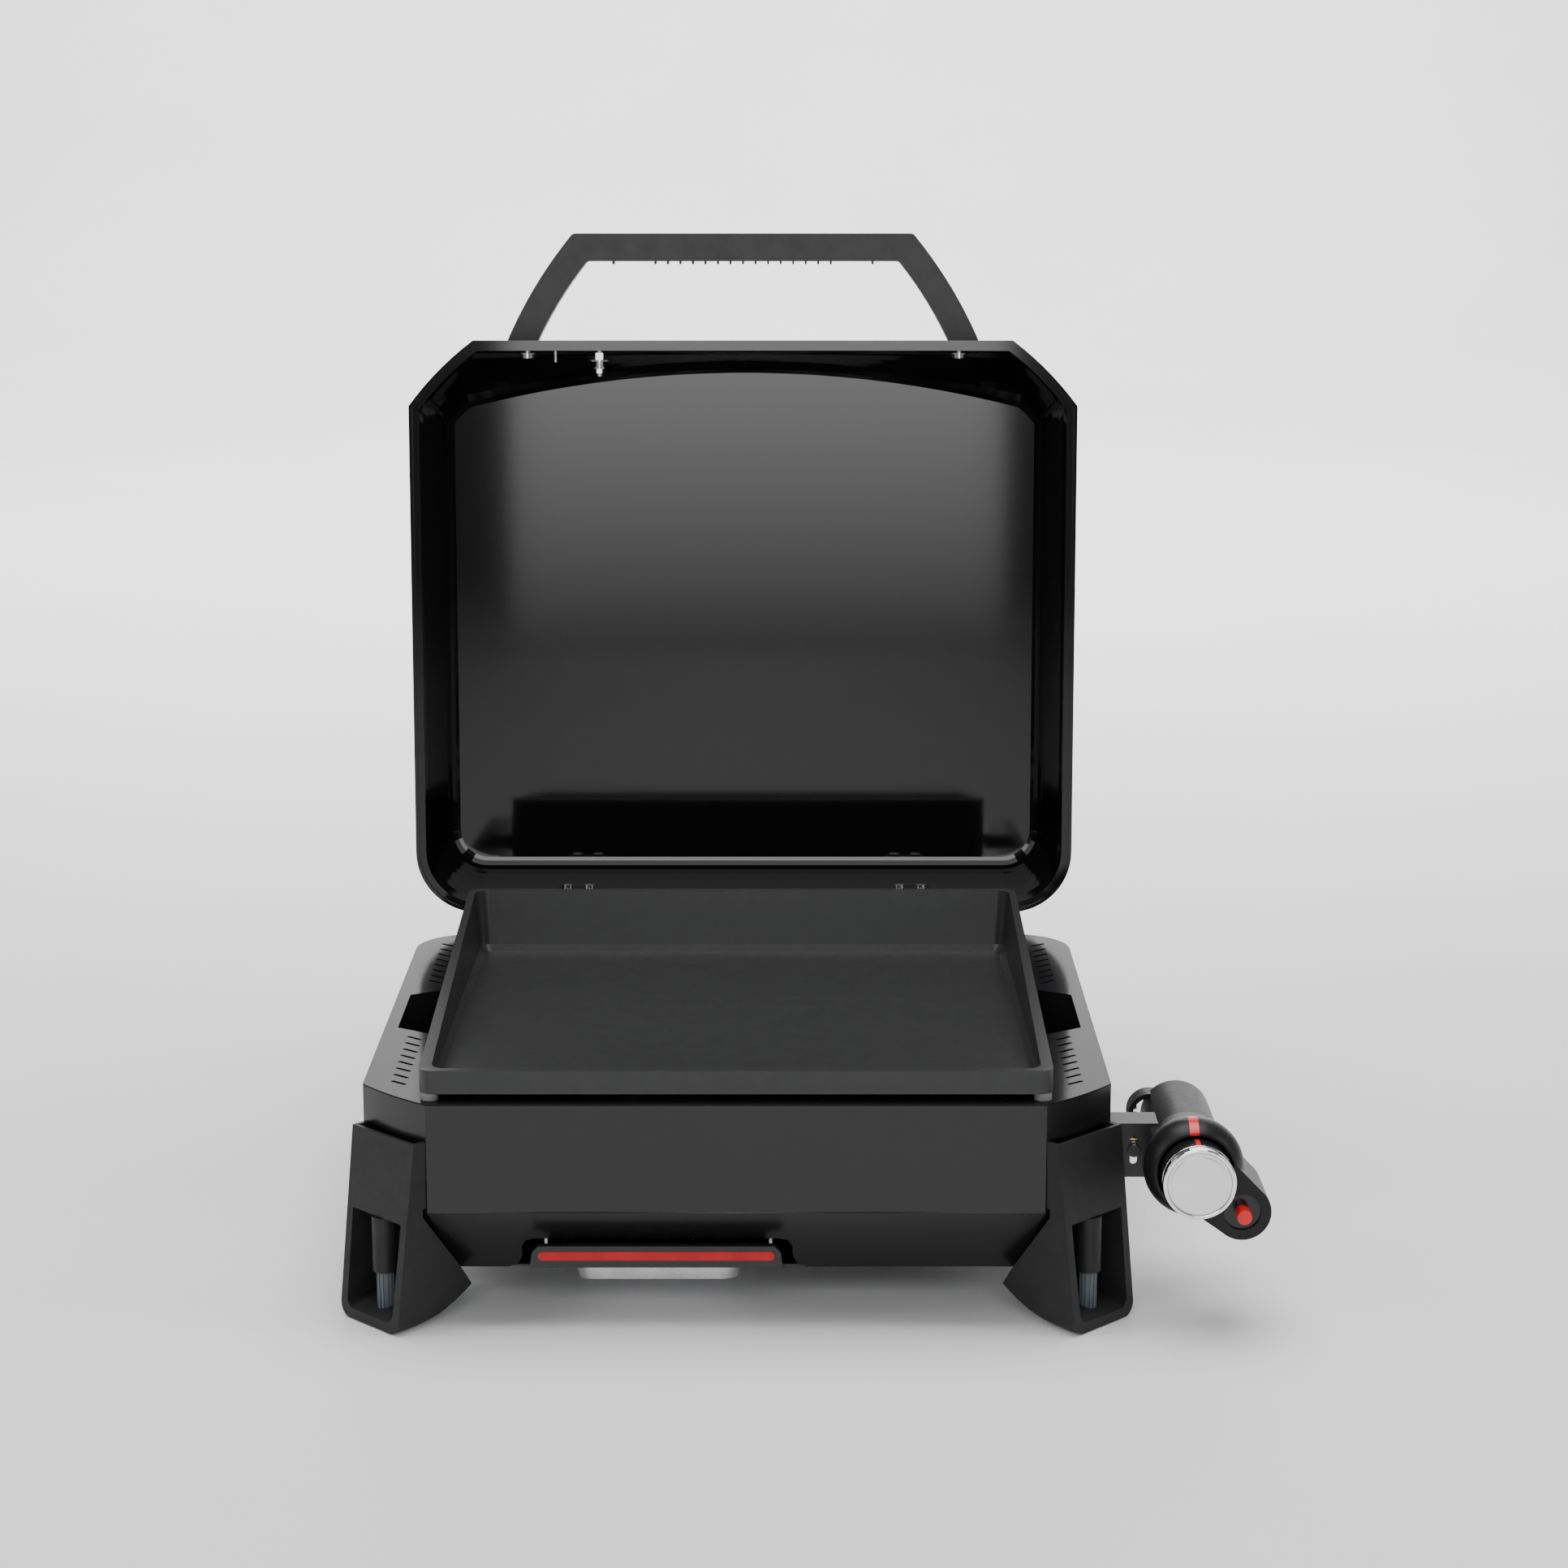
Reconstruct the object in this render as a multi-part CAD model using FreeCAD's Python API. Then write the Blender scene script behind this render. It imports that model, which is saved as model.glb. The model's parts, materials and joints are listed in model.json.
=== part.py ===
import FreeCAD, Part
import math
import os

# Tabletop gas griddle with a hinged lid, lid open. Millimetres, +Z up, front towards -Y.
# Every sub-part is modelled with X = 0 on the middle plane of the cook box, Y = 0 on the
# front edge of the deck and Z = DECK_Z on the deck's top; the table is at FLOOR_Z. export()
# then moves it by ORIGIN_SHIFT: the origin is on the table under the middle of the object.

V = FreeCAD.Vector
X_AXIS = V(1, 0, 0)
Y_AXIS = V(0, 1, 0)
Z_AXIS = V(0, 0, 1)
ROOT_HALF = math.sqrt(0.5)
FIT = 0.05  # radial clearance of a pin or screw in its hole

FLOOR_Z = -4.0
ORIGIN_SHIFT = V(-45.2, -291.4, -FLOOR_Z)

# Deck and cook box
DECK_W = 525.0
DECK_D = 454.3
DECK_Z = 160.0
DECK_T = 1.2
CHAMFER = 48.5
CHAMFER_BULGE = 2.5
CORNER_R = 44.0
WALL = 1.2
CREASE_Z = 81.5
BOX_BOTTOM_Z = 28.0
TAPER_IN = 38.5
SLOT_PITCH = 15.5
SLOT_L = 14.5
SLOT_W = 3.0
SLOT_TURN = 39.5

# Legs, measured in a corner's own frame: v outwards from the chamfer plane, s across it
LEG_TOP_Z = 133.0
LEG_LOW_Z = FLOOR_Z + 0.8
LEG_HALF_TOP = 33.8
LEG_HALF_LOW = 31.7
RECESS_DEPTH = 14.0
RECESS_HALF = 34.2
RECESS_LOW_Z = 84.0
REAR_RECESS_LOW_Z = 66.0
FOOT_V = 11.0
FOOT_TOP_Z = 34.0
BOSS_R = 8.8

# Griddle pan
PAN_HALF = 219.0
PAN_HALF_BACK = 215.3
PAN_FRONT = 5.0
PAN_BACK = 377.0
PAN_BOTTOM = DECK_Z + 5.7
PAN_FLOOR = PAN_BOTTOM + 4.2
PAN_FRONT_TOP = DECK_Z + 22.5
PAN_BACK_TOP = DECK_Z + 57.5
PAN_WALL = 5.0

# Lid, measured closed
RIM_Z = DECK_Z + 1.0
RIM_OUT = 6.6
RIM_T = 3.0
LID_H = 106.0
LID_T = 1.5
HINGE_Y = 476.6
HINGE_Z = DECK_Z - 4.7
HINGE_X = 138.0
LID_OPEN = 93.1
PIN_R = 3.0

# Lid handle
HANDLE_Z = RIM_Z + 30.0
HANDLE_DEEP = 24.0
HANDLE_REACH = 91.2
HANDLE_BAR = 22.1

# Grease tray
TRAY_X = -56.0
TRAY_BAR_W = 176.5
FOIL_W = 135.0
FOIL_L = 190.0
FOIL_FRONT = 24.0
FOIL_BOTTOM = 20.0
FOIL_RIM_Z = 42.0
NOTCH_HALF = 95.0
NOTCH_TOP = 56.2

# Control unit on the right
AXIS_X = 317.0
AXIS_Z = DECK_Z - 48.0
BEZEL_Y = -5.0
HOUSING_BACK = 134.0
HOUSING_R = 25.0
BEZEL_R = 34.8
KNOB_FRONT = -30.0
IGNITER = V(350.0, -5.0, DECK_Z - 76.5)
ARM_END_R = 20.0
ARM_ROOT_R = 24.0
PLATE_Y = 50.0
INLET_R = 12.7
GUARD_AT = V(298.5, 122.0, DECK_Z - 47.0)


def box(x0, x1, y0, y1, z0, z1):
    return Part.makeBox(x1 - x0, y1 - y0, z1 - z0, V(x0, y0, z0))


def rod(start, direction, radius, length):
    return Part.makeCylinder(radius, length, start, direction)


def tube(start, direction, outer, inner, length):
    unit = V(direction).normalize()
    hole = rod(start - unit, direction, inner, length + 2)
    return rod(start, direction, outer, length).cut(hole)


def polygon(points):
    return Part.Face(Part.makePolygon(list(points) + [points[0]]))


def side_prism(points, x0, x1):
    """Extrudes an outline of (y, z) points from x0 to x1."""
    return polygon([V(x0, y, z) for y, z in points]).extrude(V(x1 - x0, 0, 0))


def front_prism(points, y0, y1):
    """Extrudes an outline of (x, z) points from y0 to y1."""
    return polygon([V(x, y0, z) for x, z in points]).extrude(V(0, y1 - y0, 0))


def plan_prism(points, z0, z1):
    """Extrudes an outline of (x, y) points from z0 to z1."""
    return polygon([V(x, y, z0) for x, y in points]).extrude(V(0, 0, z1 - z0))


def fuse_all(shapes):
    result = shapes[0]
    if len(shapes) > 1:
        result = result.multiFuse(shapes[1:])
    return result.removeSplitter()


def edges_along(shape, axis):
    """The straight edges of a shape that run along an axis."""
    found = []
    for edge in shape.Edges:
        if edge.Curve.TypeId == "Part::GeomLine":
            if edge.tangentAt(edge.FirstParameter).cross(axis).Length < 1e-6:
                found.append(edge)
    return found


def round_along(shape, axis, radius):
    return shape.makeFillet(radius, edges_along(shape, axis))


def rounded_loop(points, radius, z):
    """A closed wire through (x, y) points, anticlockwise, with every corner rounded."""
    edges = []
    last = None
    first = None
    count = len(points)
    for i in range(count):
        corner = V(*points[i], z)
        into = (corner - V(*points[i - 1], z)).normalize()
        out = (V(*points[(i + 1) % count], z) - corner).normalize()
        turn = math.acos(max(-1.0, min(1.0, into.dot(out))))
        back_off = radius * math.tan(turn / 2)
        start = corner - into * back_off
        end = corner + out * back_off
        inwards = (out - into).normalize()
        middle = corner + inwards * (radius / math.cos(turn / 2) - radius)
        if last is None:
            first = start
        else:
            edges.append(Part.LineSegment(last, start).toShape())
        edges.append(Part.Arc(start, middle, end).toShape())
        last = end
    edges.append(Part.LineSegment(last, first).toShape())
    return Part.Wire(edges)


def rounded_rectangle(x0, x1, y0, y1, radius, z):
    return rounded_loop([(x0, y0), (x1, y0), (x1, y1), (x0, y1)], radius, z)


def body_outline(inset, z, front_inset=None, chamfer=None, arch=0.0):
    """The deck's plan moved inwards: chamfered front corners, round back corners."""
    half = DECK_W / 2 - inset
    front = inset if front_inset is None else front_inset
    back = DECK_D - inset
    cut = CHAMFER - inset * (2 - math.sqrt(2)) if chamfer is None else chamfer
    radius = max(CORNER_R - inset, 3.0)
    k = radius * (1 - ROOT_HALF)
    low_left = V(-half + cut, front, z)
    low_right = V(half - cut, front, z)
    right_front = V(half, front + cut, z)
    left_front = V(-half, front + cut, z)
    right_back = V(half, back - radius, z)
    back_right = V(half - radius, back, z)
    back_left = V(-half + radius, back, z)
    left_back = V(-half, back - radius, z)
    bulge = CHAMFER_BULGE * cut / CHAMFER * ROOT_HALF
    middle_x = (half - cut / 2) + bulge
    middle_y = (front + cut / 2) - bulge
    if arch > 0:
        front_edge = Part.Arc(low_left, V(0, front - arch, z), low_right).toShape()
    else:
        front_edge = Part.LineSegment(low_left, low_right).toShape()
    return Part.Wire([
        front_edge,
        Part.Arc(low_right, V(middle_x, middle_y, z), right_front).toShape(),
        Part.LineSegment(right_front, right_back).toShape(),
        Part.Arc(right_back, V(half - k, back - k, z), back_right).toShape(),
        Part.LineSegment(back_right, back_left).toShape(),
        Part.Arc(back_left, V(-half + k, back - k, z), left_back).toShape(),
        Part.LineSegment(left_back, left_front).toShape(),
        Part.Arc(left_front, V(-middle_x, middle_y, z), low_left).toShape(),
    ])


def slab(inset, z0, z1):
    return Part.Face(body_outline(inset, z0)).extrude(V(0, 0, z1 - z0))


def frustum(inset0, z0, inset1, z1):
    return Part.makeLoft([body_outline(inset0, z0), body_outline(inset1, z1)], True, True)


CORNERS = {
    "front_left": (-1, -1),
    "front_right": (1, -1),
    "rear_left": (-1, 1),
    "rear_right": (1, 1),
}


def at_corner(shape, corner):
    """Moves a shape from a corner's own frame, with v along +X, to that corner."""
    side, end = CORNERS[corner]
    x = side * (DECK_W / 2 - CHAMFER / 2)
    y = CHAMFER / 2 if end < 0 else DECK_D - CHAMFER / 2
    placed = shape.copy()
    placed.rotate(V(0, 0, 0), Z_AXIS, math.degrees(math.atan2(end, side)))
    placed.translate(V(x, y, 0))
    return placed


def corner_recesses(grow):
    """The spaces at the corners that the legs stand in, grown by a wall's thickness."""
    half = RECESS_HALF + grow
    spaces = []
    for corner, (side, end) in CORNERS.items():
        low = (RECESS_LOW_Z if end < 0 else REAR_RECESS_LOW_Z) - grow
        block = box(-RECESS_DEPTH - grow, 80, -half, half, low, LEG_TOP_Z + grow)
        spaces.append(at_corner(block, corner))
    return spaces


# ---------------------------------------------------------------- cook box and deck

LEG_SCREW_Z = 112.0
LEG_SCREW_S = 16.0
BURNER_Y = 70.0
BURNER_Z = AXIS_Z
BRACKET_SCREWS = [(88.0, 122.0), (88.0, 98.0)]


def leg_screw_axes():
    return [V(0, s, LEG_SCREW_Z) for s in (-LEG_SCREW_S, LEG_SCREW_S)]


def cook_box():
    top = DECK_Z - DECK_T
    outer = slab(0, CREASE_Z, top).fuse(frustum(TAPER_IN, BOX_BOTTOM_Z, 0, CREASE_Z))
    outer = outer.cut(corner_recesses(0))
    low = BOX_BOTTOM_Z + WALL
    low_inset = WALL + TAPER_IN * (CREASE_Z - low) / (CREASE_Z - BOX_BOTTOM_Z)
    inner = slab(WALL, CREASE_Z, top + 1).fuse(frustum(low_inset, low, WALL, CREASE_Z))
    inner = inner.cut(corner_recesses(WALL))
    shell = outer.cut(inner)
    cutters = [tray_notch(), burner_hole()]
    for corner in CORNERS:
        for start in leg_screw_axes():
            hole = rod(start - V(30, 0, 0), X_AXIS, 3.0 + FIT, 30)
            cutters.append(at_corner(hole, corner))
    for y, z in BRACKET_SCREWS:
        cutters.append(rod(V(DECK_W / 2 - 10, y, z), X_AXIS, 2.5 + FIT, 20))
    for x in hinge_screw_x():
        for z in HINGE_SCREW_Z:
            cutters.append(rod(V(x, DECK_D - 10, z), Y_AXIS, 2.5 + FIT, 20))
    for y in SIDE_PLATE_SCREWS:
        cutters.append(rod(V(DECK_W / 2 - 10, y, 140), X_AXIS, 2.5 + FIT, 20))
    return shell.cut(cutters).removeSplitter()


def tray_notch():
    """The way in for the grease tray: a notch in the front slope and a slot behind it."""
    half = NOTCH_HALF
    flare = 10.0
    low = BOX_BOTTOM_Z - 5
    outline = [
        (TRAY_X - half - flare, low),
        (TRAY_X - half - flare, BOX_BOTTOM_Z),
        (TRAY_X - half - 3, BOX_BOTTOM_Z + 4),
        (TRAY_X - half, BOX_BOTTOM_Z + 12),
        (TRAY_X - half, NOTCH_TOP - 8),
        (TRAY_X - half + 3, NOTCH_TOP - 2),
        (TRAY_X - half + 9, NOTCH_TOP),
        (TRAY_X + half - 9, NOTCH_TOP),
        (TRAY_X + half - 3, NOTCH_TOP - 2),
        (TRAY_X + half, NOTCH_TOP - 8),
        (TRAY_X + half, BOX_BOTTOM_Z + 12),
        (TRAY_X + half + 3, BOX_BOTTOM_Z + 4),
        (TRAY_X + half + flare, BOX_BOTTOM_Z),
        (TRAY_X + half + flare, low),
    ]
    notch = front_prism(outline, -5, TAPER_IN + 2)
    reach = FOIL_FRONT + FOIL_L + 8
    slot = box(TRAY_X - FOIL_W / 2 - 3, TRAY_X + FOIL_W / 2 + 3, 20, reach, low, low + 10)
    return notch.fuse(slot)


def burner_hole():
    return rod(V(DECK_W / 2 - 20, BURNER_Y, BURNER_Z), X_AXIS, 13.0, 30)


def slot_cutter(x, y, turn):
    """One slanted deck slot with round ends."""
    run = SLOT_L - SLOT_W
    low, high = DECK_Z - DECK_T - 1, DECK_Z + 1
    body = box(-run / 2, run / 2, -SLOT_W / 2, SLOT_W / 2, low, high)
    ends = [rod(V(end, 0, low), Z_AXIS, SLOT_W / 2, high - low) for end in (-run / 2, run / 2)]
    cutter = fuse_all([body] + ends)
    cutter.rotate(V(0, 0, 0), Z_AXIS, turn)
    cutter.translate(V(x, y, 0))
    return cutter


def deck_slots():
    cutters = []
    for side in (-1, 1):
        turn = side * SLOT_TURN
        for i in range(13):
            cutters.append(slot_cutter(side * (17.8 + i * SLOT_PITCH), 12.8, turn))
        for i in range(8):
            for first in (50.0, 311.0):
                cutters.append(slot_cutter(side * 237.5, first + i * SLOT_PITCH, turn))
    return cutters


def grip_outline(side, inset):
    """The side pocket in plan, as (x, y) points."""
    outer = 252.8 - inset
    inner = 222.0 + inset
    return [
        (side * outer, 186.0 + inset),
        (side * outer, 274.0 - inset),
        (side * inner, 291.0 - inset),
        (side * inner, 166.0 + inset),
    ]


def top_deck():
    plate = slab(0, DECK_Z - DECK_T, DECK_Z)
    low, high = DECK_Z - DECK_T - 1, DECK_Z + 1
    heat = Part.Face(rounded_rectangle(-165, 165, 70, 350, 20, low)).extrude(V(0, 0, high - low))
    drain = box(TRAY_X - 32, TRAY_X + 32, 24, 40, low, high)
    cutters = deck_slots() + [heat, drain]
    for side in (-1, 1):
        cutters.append(plan_prism(grip_outline(side, 0), low, high))
    return plate.cut(cutters)


def grip_pockets():
    """Two hand-hold cups below the deck with sloping walls."""
    depth = 34.0
    draft = 5.0
    top = DECK_Z - DECK_T

    def cup(side, shrink, z_top, z_low):
        wires = []
        for inset, z in ((shrink, z_top), (shrink + draft, z_low)):
            points = [V(x, y, z) for x, y in grip_outline(side, inset)]
            wires.append(Part.makePolygon(points + [points[0]]))
        return Part.makeLoft(wires, True, True)

    cups = []
    for side in (-1, 1):
        outside = cup(side, -WALL, top, top - depth)
        cups.append(outside.cut(cup(side, 0, top + 0.01, top - depth + WALL)))
    return Part.makeCompound(cups)


# ---------------------------------------------------------------- legs and feet

def leg():
    """One moulded leg in a corner's own frame: hollow above, finger window below."""
    low = LEG_LOW_Z
    top = LEG_TOP_Z - 0.5
    back = -RECESS_DEPTH + 1.0
    points = [V(10.3, 0, top), V(26.0, 0, low + 11), V(26.6, 0, low), V(19, 0, low + 0.8)]
    tip = V(-40.3, 0, 18.6)
    rest = [
        V(-31.2, 0, 32.7),
        V(2.9, 0, CREASE_Z - 3.5),
        V(2.9, 0, RECESS_LOW_Z + 0.5),
        V(back, 0, RECESS_LOW_Z + 0.5),
        V(back, 0, top),
    ]
    edges = [Part.LineSegment(a, b).toShape() for a, b in zip(points, points[1:])]
    edges.append(Part.Arc(points[-1], V(-8, 0, 3.2), tip).toShape())
    chain = [tip] + rest + [points[0]]
    edges += [Part.LineSegment(a, b).toShape() for a, b in zip(chain, chain[1:])]
    half = LEG_HALF_TOP + 2
    solid = Part.Face(Part.Wire(edges)).extrude(V(0, 2 * half, 0))
    solid.translate(V(0, -half, 0))
    solid = solid.common(leg_width_block())
    solid = solid.cut([leg_top_hollow(), leg_window()])
    boss = rod(V(FOOT_V, 0, FOOT_TOP_Z), Z_AXIS, BOSS_R, 40)
    solid = solid.fuse(boss)
    cutters = [
        rod(V(FOOT_V, 0, FLOOR_Z - 1), Z_AXIS, 7.0, 17),
        rod(V(FOOT_V, 0, FOOT_TOP_Z - 1), Z_AXIS, 4.0, 11),
    ]
    for start in leg_screw_axes():
        cutters.append(rod(start - V(20, 0, 0), X_AXIS, 3.0 + FIT, 20))
    return solid.cut(cutters).removeSplitter()


def rear_leg(corner):
    """A leg at a rear corner, hollowed to clear the cook box's round corner."""
    gap = 0.4
    keep_out = slab(-gap, CREASE_Z, LEG_TOP_Z + 5)
    keep_out = keep_out.fuse(frustum(TAPER_IN - gap, BOX_BOTTOM_Z - gap, -gap, CREASE_Z))
    keep_out = keep_out.cut(corner_recesses(0))
    return at_corner(leg(), corner).cut(keep_out).removeSplitter()


def leg_width_block():
    """The leg's outline seen from outside: narrower below, with round lower corners."""
    high, low = LEG_TOP_Z + 2, LEG_LOW_Z - 0.2
    outline = [
        V(-70, -LEG_HALF_TOP, high),
        V(-70, LEG_HALF_TOP, high),
        V(-70, LEG_HALF_LOW, low),
        V(-70, -LEG_HALF_LOW, low),
    ]
    block = polygon(outline).extrude(V(120, 0, 0))
    low_edges = [edge for edge in edges_along(block, X_AXIS) if edge.CenterOfMass.z < 20]
    return block.makeFillet(10, low_edges)


def leg_top_hollow():
    top = LEG_TOP_Z + 1
    outline = [V(-10, 0, 90), V(13.5, 0, 90), V(7.2, 0, top), V(-10, 0, top)]
    hollow = polygon(outline).extrude(V(0, 2 * LEG_HALF_TOP - 7, 0))
    hollow.translate(V(0, -LEG_HALF_TOP + 3.5, 0))
    return hollow


def leg_window():
    """The opening in the outer face, with a sloping ceiling and a rising floor."""
    profile = [
        V(45, 0, 4), V(45, 0, 75), V(16, 0, 75), V(7, 0, 69), V(-3, 0, 60), V(-10, 0, 52),
        V(-27, 0, 30), V(-31, 0, 23), V(-25, 0, 17), V(-4, 0, 12), V(14, 0, 8.5), V(26, 0, 4),
    ]
    inside = polygon(profile).extrude(V(0, 60, 0))
    inside.translate(V(0, -30, 0))
    face = [V(-60, -26.8, 85), V(-60, 26.8, 85), V(-60, 25.0, 3.9), V(-60, -25.0, 3.9)]
    width = polygon(face).extrude(V(120, 0, 0))
    low_edges = [edge for edge in edges_along(width, X_AXIS) if edge.CenterOfMass.z < 20]
    return inside.common(width.makeFillet(7, low_edges))


def feet():
    """Tapered rubber feet with upright ribs; each spigot sits in its leg's boss."""
    body = Part.makeCone(4.2, 5.8, FOOT_TOP_Z - FLOOR_Z, V(FOOT_V, 0, FLOOR_Z), Z_AXIS)
    spigot = rod(V(FOOT_V, 0, FOOT_TOP_Z), Z_AXIS, 4.0, 9)
    ribs = []
    for i in range(12):
        rib = box(3.6, 6.3, -0.5, 0.5, FLOOR_Z + 3, FOOT_TOP_Z - 1)
        rib.rotate(V(0, 0, 0), Z_AXIS, i * 30)
        rib.translate(V(FOOT_V, 0, 0))
        ribs.append(rib)
    one = fuse_all([body, spigot] + ribs)
    return Part.makeCompound([at_corner(one, corner) for corner in CORNERS])


def leg_screws():
    screws = []
    for corner in CORNERS:
        for start in leg_screw_axes():
            head_at = -RECESS_DEPTH - WALL
            head = rod(start + V(head_at - 3, 0, 0), X_AXIS, 5.0, 3)
            shank = rod(start + V(head_at, 0, 0), X_AXIS, 3.0, 9)
            screws.append(at_corner(head.fuse(shank), corner))
    return Part.makeCompound(screws)


# ---------------------------------------------------------------- griddle pan

def pan_loop(side, front, back, radius, z):
    """The pan in plan, moved in by side, front and back; it narrows towards the back."""
    half0, half1 = PAN_HALF - side, PAN_HALF_BACK - side
    y0, y1 = PAN_FRONT + front, PAN_BACK - back
    return rounded_loop([(-half0, y0), (half0, y0), (half1, y1), (-half1, y1)], radius, z)


def griddle_plate():
    """A flat-top pan whose side walls fall towards the front, with a drain slot."""
    wall = PAN_WALL
    face = Part.Face(pan_loop(0, 0, 0, 9, PAN_BOTTOM))
    outer = face.extrude(V(0, 0, PAN_BACK_TOP - PAN_BOTTOM))
    hollow = Part.makeLoft([
        pan_loop(wall + 8, wall + 6, wall + 8, 5, PAN_FLOOR),
        pan_loop(wall + 4, wall + 2, wall + 4, 8, PAN_FLOOR + 5),
        pan_loop(wall, wall, wall, 10, PAN_BACK_TOP + 1),
    ], True, True)
    level = PAN_BACK - PAN_WALL - 6
    fall = [
        (PAN_FRONT - 5, PAN_FRONT_TOP),
        (PAN_FRONT + 7, PAN_FRONT_TOP),
        (level, PAN_BACK_TOP),
        (level, PAN_BACK_TOP + 10),
        (PAN_FRONT - 5, PAN_BACK_TOP + 10),
    ]
    slope = side_prism(fall, -PAN_HALF - 5, PAN_HALF + 5)
    drain = box(TRAY_X - 25, TRAY_X + 25, 27, 37, PAN_BOTTOM - 1, PAN_FLOOR + 1)
    return outer.cut([hollow, slope, drain]).removeSplitter()


def griddle_feet():
    feet = []
    for y, half in ((PAN_FRONT + 7, 212.0), (PAN_BACK - 12, 208.0)):
        for x in (-half, half):
            feet.append(rod(V(x, y, DECK_Z + 0.3), Z_AXIS, 6.2, PAN_BOTTOM - DECK_Z - 0.3))
    return Part.makeCompound(feet)


# ---------------------------------------------------------------- lid, built closed

LID_LEVELS = [0.0, 22.0, 44.0, 56.0, 68.0, 80.0, 90.0, 97.0, 102.0, 105.0, LID_H]


def lid_inset(z):
    """How far the lid's wall stands inside the deck's edge at height z over the rim."""
    roll = max(0.0, (z - 90.0) / (LID_H - 90.0))
    return 0.2 + 14.0 * (z / LID_H) ** 1.6 + 8.5 * (1 - math.sqrt(max(0.0, 1 - roll ** 2)))


def lid_section(z, shrink):
    """The lid in plan at height z: the front arches more and its corners shrink higher up."""
    t = z / LID_H
    inset = lid_inset(z) + shrink
    bow = max(0.0, (t - 0.44) / 0.56) ** 1.25
    front = inset + 33.0 * bow
    chamfer = CHAMFER - 2 - 32.5 * t ** 1.5 - 0.586 * shrink
    return body_outline(inset, RIM_Z + z, front, chamfer, 0.5 + 29.0 * bow)


def lid_outer():
    return Part.makeLoft([lid_section(z, 0) for z in LID_LEVELS], True, True)


def lid_shell():
    outer = lid_outer()
    inner_levels = [lid_section(z, LID_T) for z in LID_LEVELS[:-1]]
    last = LID_H - LID_T
    inner_levels.append(lid_section(last, LID_T))
    inner = Part.makeLoft(inner_levels, True, True)
    lip = slab(-RIM_OUT, RIM_Z, RIM_Z + RIM_T).cut(slab(LID_T, RIM_Z - 1, RIM_Z + RIM_T + 1))
    shell = outer.cut(inner).fuse(lip)
    groove_out = slab(-RIM_OUT + 2.8, RIM_Z - 1, RIM_Z + 1.2)
    groove = groove_out.cut(slab(0.0, RIM_Z - 2, RIM_Z + 2))
    shell = shell.cut(groove)
    cutters = []
    for x in HANDLE_SCREW_X:
        cutters.append(rod(V(x, -10, HANDLE_Z), Y_AXIS, 3.0 + FIT, 30))
    cutters.append(rod(V(BADGE_STUD_X, -10, BADGE_Z), Y_AXIS, 2.5 + FIT, 30))
    cutters.append(rod(V(BADGE_PIN_X, -10, BADGE_Z), Y_AXIS, 1.5 + FIT, 30))
    for x in strap_screw_x():
        cutters.append(rod(V(x, DECK_D - 20, STRAP_SCREW_Z), Y_AXIS, 2.5 + FIT, 30))
    return shell.cut(cutters).removeSplitter()


HANDLE_SCREW_X = (-175.0, 175.0)
WALL_Y = lid_inset(30.0)  # outer face of the lid's front wall at the handle's height
INNER_WALL_Y = WALL_Y + LID_T


def lid_handle():
    """A bar on two slanted arms, with finger ribs on the bar's inner side."""
    low = HANDLE_Z - HANDLE_DEEP / 2
    high = HANDLE_Z + HANDLE_DEEP / 2
    front = -HANDLE_REACH
    inner = front + HANDLE_BAR
    foot_y = -1.6

    def arc(a, middle, b):
        return Part.Arc(V(*a, low), V(*middle, low), V(*b, low)).toShape()

    def line(a, b):
        return Part.LineSegment(V(*a, low), V(*b, low)).toShape()

    edges = []
    edges.append(arc((-192.0, foot_y), (-169.5, front / 2), (-136.9, front)))
    edges.append(line((-136.9, front), (136.9, front)))
    edges.append(arc((136.9, front), (169.5, front / 2), (192.0, foot_y)))
    edges.append(line((192.0, foot_y), (167.4, foot_y)))
    edges.append(arc((167.4, foot_y), (149.8, inner / 2), (125.3, inner)))
    edges.append(line((125.3, inner), (-125.3, inner)))
    edges.append(arc((-125.3, inner), (-149.8, inner / 2), (-167.4, foot_y)))
    edges.append(line((-167.4, foot_y), (-192.0, foot_y)))
    bar = Part.Face(Part.Wire(edges)).extrude(V(0, 0, high - low))
    corners = [edge for edge in edges_along(bar, Z_AXIS) if edge.CenterOfMass.y < -20]
    bar = bar.makeFillet(4, corners)
    ribs = []
    for x in [(i - 7) * 10.1 for i in range(15)] + [-104.4, 104.4]:
        ribs.append(box(x - 0.8, x + 0.8, inner - 1, inner + 2.4, low + 3, high - 3))
    bar = fuse_all([bar] + ribs)
    holes = [rod(V(x, -20, HANDLE_Z), Y_AXIS, 3.0 + FIT, 30) for x in HANDLE_SCREW_X]
    return bar.cut(holes)


def handle_pads():
    """Thin pads between the handle's feet and the lid, cut to the lid's wall."""
    pads = []
    outer = lid_outer()
    for x in (-178.0, 178.0):
        pad = box(x - 14.5, x + 14.5, -1.6, 6, HANDLE_Z - 14, HANDLE_Z + 14)
        pad = round_along(pad, Y_AXIS, 4)
        hole_x = math.copysign(HANDLE_SCREW_X[1], x)
        hole = rod(V(hole_x, -10, HANDLE_Z), Y_AXIS, 3.0 + FIT, 30)
        pads.append(pad.cut([outer, hole]))
    return Part.makeCompound(pads)


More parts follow.
